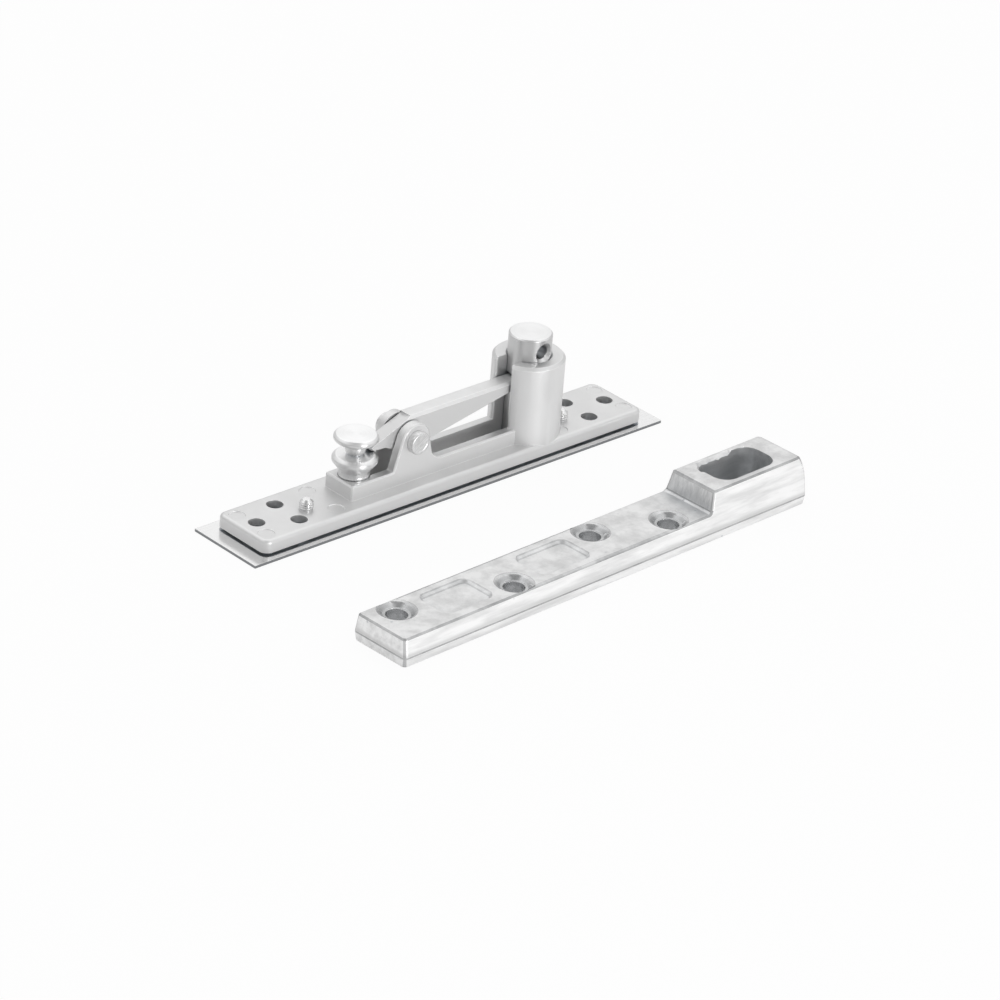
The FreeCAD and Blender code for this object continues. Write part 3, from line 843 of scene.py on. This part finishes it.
def thread(core: float, crest: float, bottom: float, pitch: float, turns: float) -> Shape:
    """A helical ridge about the Z axis, closed at both ends.

    Args:
        core: The radius at its foot.
        crest: The radius at its crest.
        bottom: The height at which it starts.
        pitch: Its rise in one turn.
        turns: How many times it goes round.

    Returns:
        A closed bmesh about the Z axis.
    """
    foot = 0.42 * pitch
    tip = 0.10 * pitch
    root = core - 0.2 * MM
    section = [(core, -foot), (crest, -tip), (crest, tip), (core, foot), (root, 0.0)]
    shape = bmesh.new()
    verts = [shape.verts.new((radius, 0.0, bottom + height)) for radius, height in section]
    start = shape.faces.new(verts)
    swept = bmesh.ops.spin(shape, geom=verts + list(start.edges), cent=ORIGIN, axis=UP,
                           dvec=UP * (pitch / THREAD_STEPS), angle=2.0 * math.pi * turns,
                           steps=int(THREAD_STEPS * turns), use_merge=False, use_duplicate=False)
    last = [item for item in swept["geom_last"] if isinstance(item, Edge)]
    bmesh.ops.contextual_create(shape, geom=last)
    bmesh.ops.recalc_face_normals(shape, faces=shape.faces)
    return shape


def box_shape(low: Corner, high: Corner) -> Shape:
    """A box between two corners, for cutting.

    Args:
        low: The lowest corner.
        high: The highest corner.

    Returns:
        The box.
    """
    shape = bmesh.new()
    size = Vector(high) - Vector(low)
    middle = (Vector(high) + Vector(low)) / 2.0
    bmesh.ops.create_cube(shape, size=1.0, matrix=Matrix.LocRotScale(middle, None, size))
    return shape


def moved(shape: Shape, place: Vector, axis: Axis = Axis.UPRIGHT) -> Shape:
    """Set a turned shape on its axis.

    Args:
        shape: A mesh about the Z axis.
        place: The point that its origin goes to.
        axis: The direction that its own axis takes.

    Returns:
        The same mesh, moved.
    """
    turn = UP.rotation_difference(axis.value).to_matrix().to_4x4()
    bmesh.ops.transform(shape, matrix=Matrix.Translation(place) @ turn, verts=shape.verts)
    return shape


def dress(piece: bpy.types.Object, material: bpy.types.Material, node: str,
          stands_in: bool = True) -> None:
    """Give a piece its finish and tie it to the solid that it belongs to.

    Args:
        piece: The finished piece.
        material: Its material.
        node: The solid that it stands for or sits on.
        stands_in: Whether it is shown in place of the solid.
    """
    piece.data.materials.clear()
    piece.data.materials.append(material)
    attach(piece, BODY_OF[node])
    if stands_in:
        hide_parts(node)
    LOG.info("%s: %d faces on %s", piece.name, len(piece.data.polygons), BODY_OF[node])


@dataclass
class FrameCasting:
    """The die casting: base plate, channel block, ears and barrel, with its round ejector marks."""

    plate_top: float = 6.2 * MM
    mark_radius: float = 2.9 * MM
    mark_slope: float = 0.15 * MM
    mark_depth: float = 0.3 * MM
    mark_above: float = 0.05 * MM
    mark_steps: int = 48
    outer_mark: float = 4.5 * MM
    inner_mark: float = 34.6 * MM
    mark_side: float = 7.4 * MM

    def finish(self) -> bpy.types.Material:
        """Its satin grey finish."""
        return CastFinish("cast_body", tone=grey(0.745), hollow_shade=grey(0.47, -0.06),
                          rubbed_and_highlight=grey(0.97)).material()

    def mark(self, place: Vector) -> Shape:
        """A shallow disc-shaped cutter.

        Args:
            place: The middle of the mark on the plate's top face.

        Returns:
            The cutter.
        """
        floor = self.mark_radius - self.mark_slope
        outline = [(0.0, -self.mark_depth, 0.0), (floor, -self.mark_depth, 0.0),
                   (self.mark_radius, 0.0, 0.0), (self.mark_radius, self.mark_above, 0.0),
                   (0.0, self.mark_above, 0.0)]
        return moved(lathe(outline, self.mark_steps), place)

    def build(self) -> None:
        """Make the casting and its marks."""
        _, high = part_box("frame_body")
        places = [Vector((side * (high.x - inset), edge * self.mark_side, self.plate_top))
                  for inset in (self.outer_mark, self.inner_mark) for side in (-1, 1) for edge in (-1, 1)]
        shape = carve(welded("frame_body"), [self.mark(place) for place in places])
        dress(new_piece("pivot_casting", shape), self.finish(), "frame_body")


@dataclass
class CoverSheet:
    """The thin polished plate that covers the mortise."""

    def finish(self) -> bpy.types.Material:
        """Its polished finish, darker on the upright edges."""
        return SheetFinish("sheet", tone=grey(0.92), hollow_shade=grey(0.75, -0.04),
                           edge_tone=grey(0.28, -0.03)).material()

    def build(self) -> None:
        """Make the sheet."""
        dress(new_piece("cover_sheet", welded("cover_plate")), self.finish(), "cover_plate")


@dataclass
class CoverScrew:
    """A countersunk screw through the cover plate, with its threaded tip above the casting."""

    node: str
    name: str
    plate_top: float = 6.2 * MM
    radius: float = 2.2 * MM
    pitch: float = 0.8 * MM
    ridge: float = 0.2 * MM
    thread_start: float = 0.3 * MM
    bare: float = 1.3 * MM

    def finish(self, axis: Vector) -> bpy.types.Material:
        """Its turned finish.

        Args:
            axis: A point on the screw's axis.

        Returns:
            The material.
        """
        return TurnedFinish("screw_steel_" + self.name, tone=grey(0.78), square_face_light=grey(0.88),
                            hollow_shade=grey(0.45, -0.03), centre=(axis.x, axis.y, 0.0)).material()

    def build(self) -> None:
        """Make the screw and the thread on its tip."""
        low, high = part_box(self.node)
        axis = (low + high) / 2.0
        tip = Vector((axis.x, axis.y, self.plate_top))
        finish = self.finish(axis)
        dress(new_piece("screw_body_" + self.name, welded(self.node)), finish, self.node)
        turns = (high.z - self.plate_top - self.bare) / self.pitch
        crest = self.radius + self.ridge
        ridge = thread(self.radius - THREAD_SINK, crest, self.thread_start, self.pitch, turns)
        dress(new_piece("screw_thread_" + self.name, moved(ridge, tip)), finish, self.node, stands_in=False)


@dataclass
class HingeRivet:
    """The rivet that the rocker turns on, with a dished head at each end."""

    head_height: float = 2.6 * MM
    shank_radius: float = 3.0 * MM
    rounding: float = 0.5 * MM
    shoulder_rounding: float = 0.12 * MM
    dish_depth: float = 0.12 * MM
    dish_rounding: float = 0.1 * MM
    rim: float = 1.2 * MM

    def finish(self) -> bpy.types.Material:
        """Its dull, scratched finish."""
        return StruckFinish("rivet_steel", tone=grey(0.80), hollow_shade=grey(0.45, -0.03)).material()

    def build(self) -> None:
        """Make the rivet."""
        low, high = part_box("hinge_pin")
        centre = (low + high) / 2.0
        half = high.y - centre.y
        head = (high.x - low.x) / 2.0
        neck = half - self.head_height
        dish = head - self.rim
        floor = half - self.dish_depth
        upper = [(self.shank_radius, neck, 0.0), (head, neck, self.shoulder_rounding),
                 (head, half, self.rounding), (dish, half, self.dish_rounding),
                 (dish - self.dish_depth, floor, self.dish_rounding), (0.0, floor, 0.0)]
        lower = [(radius, -height, rounding) for radius, height, rounding in reversed(upper)]
        shape = moved(lathe(lower + upper), centre, Axis.ALONG_Y)
        dress(new_piece("hinge_rivet", shape), self.finish(), "hinge_pin")


@dataclass
class Rocker:
    """The cast lever between the screw and the pin, whose nose slopes down to the screw's groove."""

    crown: Corner = (-15.2 * MM, -3.25 * MM, 28.2 * MM)
    dip: float = math.radians(21.8)
    tilt: float = math.radians(13.0)
    reach: float = 20.0 * MM
    crease: float = 20.0

    def finish(self) -> bpy.types.Material:
        """Its rougher grey finish, with painted shade that darkens the flanks."""
        return CastFinish("cast_lever", tone=grey(0.80), hollow_shade=grey(0.40, -0.05), rubbed_and_highlight=grey(0.98),
                          roughness=0.4, edge_share=0.9, grain_height=0.02 * MM, flank_shade=0.86).material()

    def slope(self) -> Shape:
        """A cutter for the top of the nose, which falls away to the screw and to the far side."""
        shape = box_shape((-self.reach, -self.reach, 0.0), (0.0, self.reach, self.reach))
        turn = Matrix.Rotation(-self.dip, 4, "Y") @ Matrix.Rotation(-self.tilt, 4, "X")
        bmesh.ops.transform(shape, matrix=Matrix.Translation(self.crown) @ turn, verts=shape.verts)
        return shape

    def build(self) -> None:
        """Make the lever."""
        shape = carve(welded("lever"), [self.slope()])
        dress(new_piece("rocker_lever", shape, self.crease), self.finish(), "lever")


@dataclass
class PivotPin:
    """The round steel pin that the door turns on."""

    def finish(self) -> bpy.types.Material:
        """Its turned finish, about the axis of the solid."""
        low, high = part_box("pivot_pin")
        axis = (low + high) / 2.0
        return TurnedFinish("pin_steel", tone=grey(0.60), square_face_light=grey(0.92), hollow_shade=grey(0.58, -0.03),
                            centre=(axis.x, axis.y, 0.0), roughness=0.30).material()

    def build(self) -> None:
        """Make the pin."""
        dress(new_piece("pivot_pin_turned", welded("pivot_pin")), self.finish(), "pivot_pin")


@dataclass
class AdjustingScrew:
    """The turned screw: flat head, ball neck, bevelled flange and threaded shank."""

    shank: float = 5.4 * MM
    foot_rounding: float = 0.5 * MM
    run_out: float = 1.0 * MM
    bare: float = 2.0 * MM
    flange_bottom: float = 13.9 * MM
    flange_cone: float = 3.1 * MM
    flange_rim: float = 18.2 * MM
    flange_top: float = 19.3 * MM
    flange_face: float = 6.6 * MM
    ball: float = 3.7 * MM
    ball_sink: float = 1.0 * MM
    ball_points: int = 9
    neck: float = 2.6 * MM
    head_under: float = 24.2 * MM
    head_radius: float = 7.65 * MM
    head_bevel: float = 0.85 * MM
    soft: float = 0.3 * MM
    fine: float = 0.2 * MM
    crisp: float = 0.15 * MM
    slot_width: float = 1.6 * MM
    slot_depth: float = 2.4 * MM
    pitch: float = 1.25 * MM
    ridge: float = 0.16 * MM
    thread_start: float = 0.6 * MM
    thread_gap: float = 1.4 * MM
    steps: int = 128

    def ball_profile(self) -> list[Corner]:
        """Profile points up the outside of the ball, from the flange to the neck."""
        middle = self.flange_top + self.ball - self.ball_sink
        low = -math.acos(math.sqrt(1.0 - ((self.ball - self.ball_sink) / self.ball) ** 2))
        top = math.acos(self.neck / self.ball)
        angles = [low + (top - low) * step / (self.ball_points - 1) for step in range(self.ball_points)]
        return [(self.ball * math.cos(angle), middle + self.ball * math.sin(angle), 0.0)
                for angle in angles]

    def profile(self, bottom: float, flange: float, top: float) -> list[Corner]:
        """The screw's outline from its foot to the top of its head.

        Args:
            bottom: The height of the foot.
            flange: The radius of the flange.
            top: The height of the head's top.

        Returns:
            Profile points as (radius, height, rounding).
        """
        root = self.shank - self.ridge
        shoulder = self.head_radius - self.head_bevel
        return [
            (0.0, bottom, 0.0),
            (root, bottom, self.foot_rounding),
            (root, self.flange_bottom - self.bare, 0.0),
            (root, self.flange_bottom - self.run_out, self.fine),
            (self.shank, self.flange_bottom, self.fine),
            (flange, self.flange_bottom + self.flange_cone, self.soft),
            (flange, self.flange_rim, self.soft),
            (self.flange_face, self.flange_top, self.fine),
            *self.ball_profile(),
            (self.neck, self.head_under, self.soft),
            (shoulder, self.head_under, self.crisp),
            (self.head_radius, self.head_under + self.head_bevel, self.fine),
            (self.head_radius, top - self.head_bevel, self.fine),
            (shoulder, top, self.crisp),
            (0.0, top, 0.0),
        ]

    def finish(self, axis: Vector) -> bpy.types.Material:
        """Its turned finish.

        Args:
            axis: A point on the screw's axis.

        Returns:
            The material.
        """
        return TurnedFinish("adjuster_steel", tone=grey(0.72), square_face_light=grey(0.95), hollow_shade=grey(0.62, -0.03),
                            centre=tuple(axis), roughness=0.36).material()

    def build(self) -> None:
        """Make the screw and its thread."""
        low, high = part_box("adjusting_screw")
        axis = Vector(((low.x + high.x) / 2.0, 0.0, 0.0))
        body = lathe(self.profile(low.z, (high.x - low.x) / 2.0, high.z), self.steps)
        slot = box_shape((-self.shank, -self.slot_width / 2.0, low.z - MM),
                         (self.shank, self.slot_width / 2.0, low.z + self.slot_depth))
        finish = self.finish(axis)
        dress(new_piece("adjuster_turned", moved(carve(body, [slot]), axis)), finish, "adjusting_screw")
        root = self.shank - self.ridge
        turns = (self.flange_bottom - self.thread_gap - low.z - self.slot_depth) / self.pitch
        start = low.z + self.slot_depth + self.thread_start
        ridge = moved(thread(root - THREAD_SINK, self.shank, start, self.pitch, turns), axis)
        dress(new_piece("adjuster_thread", ridge), finish, "adjusting_screw", stands_in=False)


@dataclass
class DoorStrap:
    """The cast strap for the door's top edge, with the slotted socket block."""

    turn: float = math.radians(1.9)
    parting: float = 3.4 * MM
    top: float = 10.0 * MM
    block_top: float = 17.6 * MM
    block_face: float = -20.0 * MM
    seam_width: float = 0.28 * MM
    rim_width: float = 0.3 * MM
    edge_side: float = 9.5 * MM
    sink_radius: float = 6.3 * MM
    sink_rim: float = 0.5 * MM
    sink_margin: float = 0.3 * MM
    sink_reach: float = 0.1 * MM
    recess_side: float = 8.6 * MM
    recess_depth: float = 1.0 * MM
    recess_reach: float = -150.0 * MM
    socket_end: float = 13.25 * MM
    socket_side: float = 8.0 * MM
    chip_width: float = 0.9 * MM
    chip_depth: float = 2.2 * MM
    chip_size: float = 1.6 * MM
    chip_end: float = 4.5 * MM
    chips: int = 18
    sharp_angle: float = math.radians(20.0)
    touch: float = 0.01 * MM
    near: float = 0.05 * MM

    # Parts of a face's normal: above which it is level, below which upright, and how a corner faces
    level: float = 0.92
    upright: float = 0.3
    corner_level: float = 0.35
    corner_share: float = 0.36
    drawn_share: float = 0.8

    @cached_property
    def mounts(self) -> dict[str, dict]:
        """The record's mounts by name."""
        return {mount["name"]: mount for mount in frame["record"]["mounts"]}

    @cached_property
    def holes(self) -> list[Vector]:
        """The middles of the four screw holes, from the record."""
        along = Vector((math.cos(self.turn), math.sin(self.turn), 0.0))
        places = []
        for row in ("strap_screws_far_row", "strap_screws_near_row"):
            middle = Vector(self.mounts[row]["pos_m"])
            reach = along * self.mounts[row]["dims"]["pcd_mm"] * MM / 2.0
            places += [middle - reach, middle + reach]
        return places

    @cached_property
    def socket(self) -> Vector:
        """The middle of the socket's mouth, from the record."""
        return Vector(self.mounts["pivot_socket"]["pos_m"])

    @cached_property
    def straight(self) -> Matrix:
        """The turn that lays the strap along the X axis."""
        return Matrix.Rotation(-self.turn, 3, "Z")

    def from_hole(self, place: Vector) -> float:
        """How far a point is from the nearest hole's axis, seen from above.

        Args:
            place: The point.

        Returns:
            The distance in metres.
        """
        return min((place - hole).to_2d().length for hole in self.holes)

    def from_middle(self, place: Vector) -> Vector:
        """A point's place from the socket's middle, along and across the strap.

        Args:
            place: The point.

        Returns:
            The place with the strap's turn taken out.
        """
        return self.straight @ (place - self.socket)

    def in_recess(self, place: Vector) -> bool:
        """Whether a point belongs to one of the shallow recesses.

        Args:
            place: The point.

        Returns:
            True at a recess's rim, wall or floor.
        """
        local = self.from_middle(place)
        return (abs(local.y) < self.recess_side and self.recess_reach < local.x < self.block_face
                and self.from_hole(place) > self.sink_radius + self.sink_margin
                and self.top - self.recess_depth - self.near < place.z < self.top + self.near)

    def on_far_rim(self, place: Vector) -> bool:
        """Whether a point lies on the chipped stretch of the socket's far rim.

        Args:
            place: The point.

        Returns:
            True on the rim.
        """
        local = self.from_middle(place)
        return (abs(local.z) < self.touch and 0.0 < local.y < self.socket_side
                and -self.socket_end < local.x < self.chip_end)

    def sharp(self, shape: Shape) -> list[Edge]:
        """The edges at which the surface turns.

        Args:
            shape: The strap's mesh.

        Returns:
            The edges of more than the sharp angle.
        """
        return [edge for edge in shape.edges if edge.calc_face_angle(0.0) > self.sharp_angle]

    def shade_and_wear_mark(self, face: Face) -> ShadeAndWear:
        """How much painted shade a face of the bare casting gets, as a dark line or a darker tone.

        Args:
            face: A face of the strap's mesh.

        Returns:
            What the face is marked with.
        """
        normal = self.straight @ face.normal
        middle = face.calc_center_median()
        local = self.from_middle(middle)
        in_sink = self.from_hole(middle) < self.sink_radius
        sloped = self.upright < normal.z < self.level
        corner = abs(normal.z) < self.corner_level and abs(normal.x * normal.y) > self.corner_share
        outer = all(edge.is_manifold and edge.calc_face_angle_signed() > 0.0 for edge in face.edges)
        side = normal.y * local.y > 0.0 and abs(local.y) > self.edge_side
        rim = side or local.x < self.recess_reach or middle.z > self.block_top - self.recess_depth
        # Painted shade and dark reflection: countersinks, recess walls and outer chamfers and corners are
        # marked dark.
        if sloped and in_sink:
            return ShadeAndWear.SINK
        if sloped and self.in_recess(middle):
            return ShadeAndWear.RECESS_WALL
        if (sloped and rim) or (outer and corner):
            return ShadeAndWear.OUTER
        if normal.z > self.level and in_sink and middle.z < self.top - self.touch:
            return ShadeAndWear.SINK
        return ShadeAndWear.CLEAN

    def mark_faces(self, shape: Shape) -> None:
        """Note which faces get painted shade, which are bored and which are drawn by the mould.

        Args:
            shape: The strap's mesh.
        """
        names = (SHADE_AND_WEAR, BORED, DRAWN)
        for name in names:
            shape.faces.layers.float.new(name)
        shade_and_wear_layer, bored, drawn = (shape.faces.layers.float[name] for name in names)
        shape.normal_update()
        for face in shape.faces:
            middle = face.calc_center_median()
            face[shade_and_wear_layer] = self.shade_and_wear_mark(face).value
            if self.from_hole(middle) < self.sink_radius and middle.z < self.top - self.touch:
                face[bored] = 1.0
            before_block = middle.z > self.top and self.from_middle(middle).x < self.block_face
            if before_block and (self.straight @ face.normal).x < -self.drawn_share:
                face[drawn] = 1.0

    def ease(self, shape: Shape, edges: list[Edge], width: float, shade_and_wear_mark: ShadeAndWear) -> None:
        """Bevel edges and mark the new faces.

        Args:
            shape: The strap's mesh.
            edges: The edges to bevel.
            width: The width of the bevel.
            shade_and_wear_mark: What the new faces are marked with.
        """
        shade_and_wear_layer = shape.faces.layers.float[SHADE_AND_WEAR]
        strips = bmesh.ops.bevel(shape, geom=edges, offset=width, offset_type="OFFSET", affect="EDGES",
                                 segments=1, profile=0.5, material=-1)["faces"]
        for face in strips:
            face[shade_and_wear_layer] = shade_and_wear_mark.value

    def ease_seams(self, shape: Shape) -> None:
        """Ease the parting line, the bottom edge and the frame of the block's drawn face, with dark lines,
        mostly painted shade.

        Args:
            shape: The strap's mesh.
        """
        parting = [edge for edge in shape.edges
                   if all(abs(vert.co.z - self.parting) < self.touch for vert in edge.verts)]
        self.ease(shape, parting, self.seam_width, ShadeAndWear.PARTING)
        bottom = [edge for edge in self.sharp(shape)
                  if all(vert.co.z < self.touch and self.from_hole(vert.co) > self.sink_radius
                         for vert in edge.verts)]
        self.ease(shape, bottom, self.seam_width, ShadeAndWear.PARTING)
        drawn = shape.faces.layers.float[DRAWN]
        frame_edges = [edge for edge in shape.edges if len(edge.link_faces) == 2
                       and sum(face[drawn] > 0.5 for face in edge.link_faces) == 1]
        self.ease(shape, frame_edges, self.rim_width, ShadeAndWear.DRAWN_FRAME)

    def ease_rims(self, shape: Shape) -> None:
        """Ease the rims of the countersinks and the far and right folds of the recesses, with dark lines of
        painted shade.

        Args:
            shape: The strap's mesh.
        """
        rims = [edge for edge in self.sharp(shape)
                if all(vert.co.z > self.top - self.near
                       and self.from_hole(vert.co) < self.sink_radius + self.sink_reach
                       for vert in edge.verts)]
        self.ease(shape, rims, self.sink_rim, ShadeAndWear.SINK_RIM)
        for level in (self.top, self.top - self.recess_depth):
            folds = [edge for edge in self.sharp(shape)
                     if all(self.in_recess(vert.co) and abs(vert.co.z - level) < self.near
                            for vert in edge.verts) and self.far_or_right(edge)]
            self.ease(shape, folds, self.rim_width, ShadeAndWear.FOLD)

    def far_or_right(self, edge: Edge) -> bool:
        """Whether an edge of a recess is at its far or right wall, where painted shade lays a dark line.

        Args:
            edge: An edge at the top or the foot of the wall.

        Returns:
            True beside a wall that faces the near left.
        """
        normals = [self.straight @ face.normal for face in edge.link_faces]
        return any(normal.z < self.level and max(normal.x, normal.y) < self.upright for normal in normals)

    def chip_rim(self, shape: Shape) -> None:
        """Chip the far rim of the socket, where the coat is broken.

        Args:
            shape: The strap's mesh.
        """
        long_edges = [edge for edge in self.sharp(shape) if edge.calc_length() > 0.5 * self.socket_end
                      and all(abs(self.from_middle(vert.co).x) < self.socket_end
                              and 0.0 < self.from_middle(vert.co).y < self.socket_side
                              and vert.co.z > self.block_top - self.touch for vert in edge.verts)]
        bmesh.ops.subdivide_edges(shape, edges=long_edges, cuts=self.chips)
        rim = [edge for edge in self.sharp(shape) if all(self.on_far_rim(vert.co) for vert in edge.verts)]
        before = set(shape.faces)
        self.ease(shape, rim, self.chip_width, ShadeAndWear.BROKEN)
        strips = [face for face in shape.faces if face not in before]
        for vert in {vert for face in strips for vert in face.verts}:
            if self.block_top - vert.co.z > 0.5 * self.chip_width:
                vert.co.z -= self.chip_depth * abs(noise.noise(vert.co / self.chip_size))

    def finish(self) -> bpy.types.Material:
        """Its plated, mottled finish."""
        return StrapFinish("cast_strap", top=grey(0.79), stain=grey(0.62), side=grey(0.95),
                           hollow_shade=grey(0.40, -0.06), line=grey(0.27, -0.02), bright=grey(0.92)).material()

    def build(self) -> None:
        """Make the strap."""
        shape = welded("door_strap")
        self.mark_faces(shape)
        self.ease_seams(shape)
        self.ease_rims(shape)
        self.chip_rim(shape)
        dress(new_piece("strap_casting", shape), self.finish(), "door_strap")


@dataclass(frozen=True)
class Lamp:
    """A soft square lamp that faces the object."""

    name: str
    place: Corner
    power: float
    size: float = 0.4
    target: Corner = (0.0, -0.04, 0.0)

    def hang(self) -> None:
        """Hang the lamp."""
        data = bpy.data.lights.new(self.name, "AREA")
        data.size = self.size
        data.energy = self.power
        lamp = bpy.data.objects.new(self.name, data)
        bpy.context.scene.collection.objects.link(lamp)
        turn = (Vector(self.place) - Vector(self.target)).to_track_quat("Z", "Y").to_matrix().to_4x4()
        lamp.matrix_world = Matrix.Translation(self.place) @ turn


@dataclass
class Studio:
    """A white floor, a pale room, soft lamps and the camera of the photograph."""

    azimuth: float = math.radians(44.336)
    elevation: float = math.radians(27.869)
    roll: float = math.radians(4.626)
    aim: Corner = (14.209 * MM, -18.042 * MM, -5.624 * MM)
    distance: float = 1752.9 * MM
    lens: float = 187.72
    clip_start: float = 0.05
    clip_end: float = 50.0
    floor_size: float = 8.0
    floor_drop: float = 0.02 * MM
    floor_tone: float = 0.82
    seen_glow: float = 0.94
    mirrored_glow: float = 0.4
    room_lean: float = 0.2
    room_upright: float = 0.98
    room_range: Band = (0.1, 0.9)
    room_power: float = 2.0
    room_light: float = 0.68
    room_gain: float = 1.14
    canopy: Corner = (-0.19, -0.15, 0.97)
    canopy_range: Band = (0.87, 0.96)
    canopy_light: float = 0.3
    lamps: tuple[Lamp, ...] = (
        Lamp("front_lamp", (-0.08, -1.3, 0.10), power=8.4),
        Lamp("right_lamp", (0.95, -0.95, 0.12), power=1.0),
    )

    def back(self) -> Vector:
        """The direction from the object to the camera."""
        level = math.cos(self.elevation)
        across = (-math.sin(self.azimuth) * level, -math.cos(self.azimuth) * level)
        return Vector((*across, math.sin(self.elevation)))

    def camera(self) -> None:
        """Set the camera where the photograph was taken."""
        back = self.back()
        right = Vector((math.cos(self.azimuth), -math.sin(self.azimuth), 0.0))
        up = back.cross(right)
        tilted = right * math.cos(self.roll) + up * math.sin(self.roll)
        upright = up * math.cos(self.roll) - right * math.sin(self.roll)
        data = bpy.data.cameras.new("photo_camera")
        data.lens = self.lens
        data.clip_start = self.clip_start
        data.clip_end = self.clip_end
        camera = bpy.data.objects.new("photo_camera", data)
        bpy.context.scene.collection.objects.link(camera)
        turn = Matrix((tilted, upright, back)).transposed().to_4x4()
        camera.matrix_world = Matrix.Translation(Vector(self.aim) + back * self.distance) @ turn
        bpy.context.scene.camera = camera

    def floor_material(self) -> bpy.types.Material:
        """Matt white that keeps its shadow, and looks white to the camera and in mirrors."""
        graph = Graph(bpy.data.materials.new("white_floor"))
        matt = graph.add("BsdfDiffuse", {"Color": grey(self.floor_tone)}).outputs[0]
        glow = graph.add("Emission", {"Color": grey(1.0), "Strength": 1.0}).outputs[0]
        rays = graph.add("LightPath")
        mirrored = graph.math("MAXIMUM", rays.outputs["Is Glossy Ray"], rays.outputs["Is Transmission Ray"])
        share = graph.math("MAXIMUM", graph.math("MULTIPLY", rays.outputs["Is Camera Ray"], self.seen_glow),
                           graph.math("MULTIPLY", mirrored, self.mirrored_glow))
        mixed = graph.add("MixShader", {0: share, 1: matt, 2: glow}).outputs[0]
        graph.add("OutputMaterial", {"Surface": mixed})
        return graph.owner

    def floor(self) -> None:
        """Lay the floor."""
        shape = bmesh.new()
        bmesh.ops.create_grid(shape, x_segments=1, y_segments=1, size=self.floor_size / 2.0)
        floor = as_object("floor", shape)
        floor.location.z = -self.floor_drop
        floor.data.materials.append(self.floor_material())

    def world(self) -> None:
        """Light the object from a pale room, lighter overhead but for a dark patch near the zenith."""
        graph = Graph(bpy.data.worlds.new("pale_room"))
        bpy.context.scene.world = graph.owner
        direction = graph.add("TexCoord").outputs["Generated"]
        lightest = (self.room_lean * math.sin(self.azimuth), self.room_lean * math.cos(self.azimuth),
                    self.room_upright)
        upward = graph.span(graph.dot(direction, lightest), *self.room_range)
        rise = graph.math("POWER", upward, self.room_power)
        room = {0: rise, 1: self.room_gain, 2: self.room_light}
        light = graph.add("Math", room, operation="MULTIPLY_ADD").outputs[0]
        beside = graph.dot(direction, self.canopy)
        shade = graph.span(beside, *self.canopy_range, 1.0, self.canopy_light, smooth=True)
        sky = graph.add("Background", {"Strength": graph.math("MULTIPLY", light, shade)})
        graph.add("OutputWorld", {"Surface": sky.outputs[0]})

    def build(self) -> None:
        """Set up the whole stage."""
        self.camera()
        self.floor()
        self.world()
        for lamp in self.lamps:
            lamp.hang()
        bpy.context.scene.view_settings.view_transform = "Standard"


def main() -> None:
    """Build every piece in order, then the stage."""
    logging.basicConfig(level=logging.INFO, format="%(name)s: %(message)s")
    pieces = [FrameCasting(), CoverSheet(), CoverScrew("cover_screw_left", "left"),
              CoverScrew("cover_screw_right", "right"), HingeRivet(), Rocker(), PivotPin(),
              AdjustingScrew(), DoorStrap()]
    for piece in pieces:
        piece.build()
    Studio().build()


if __name__ == "__main__":
    main()
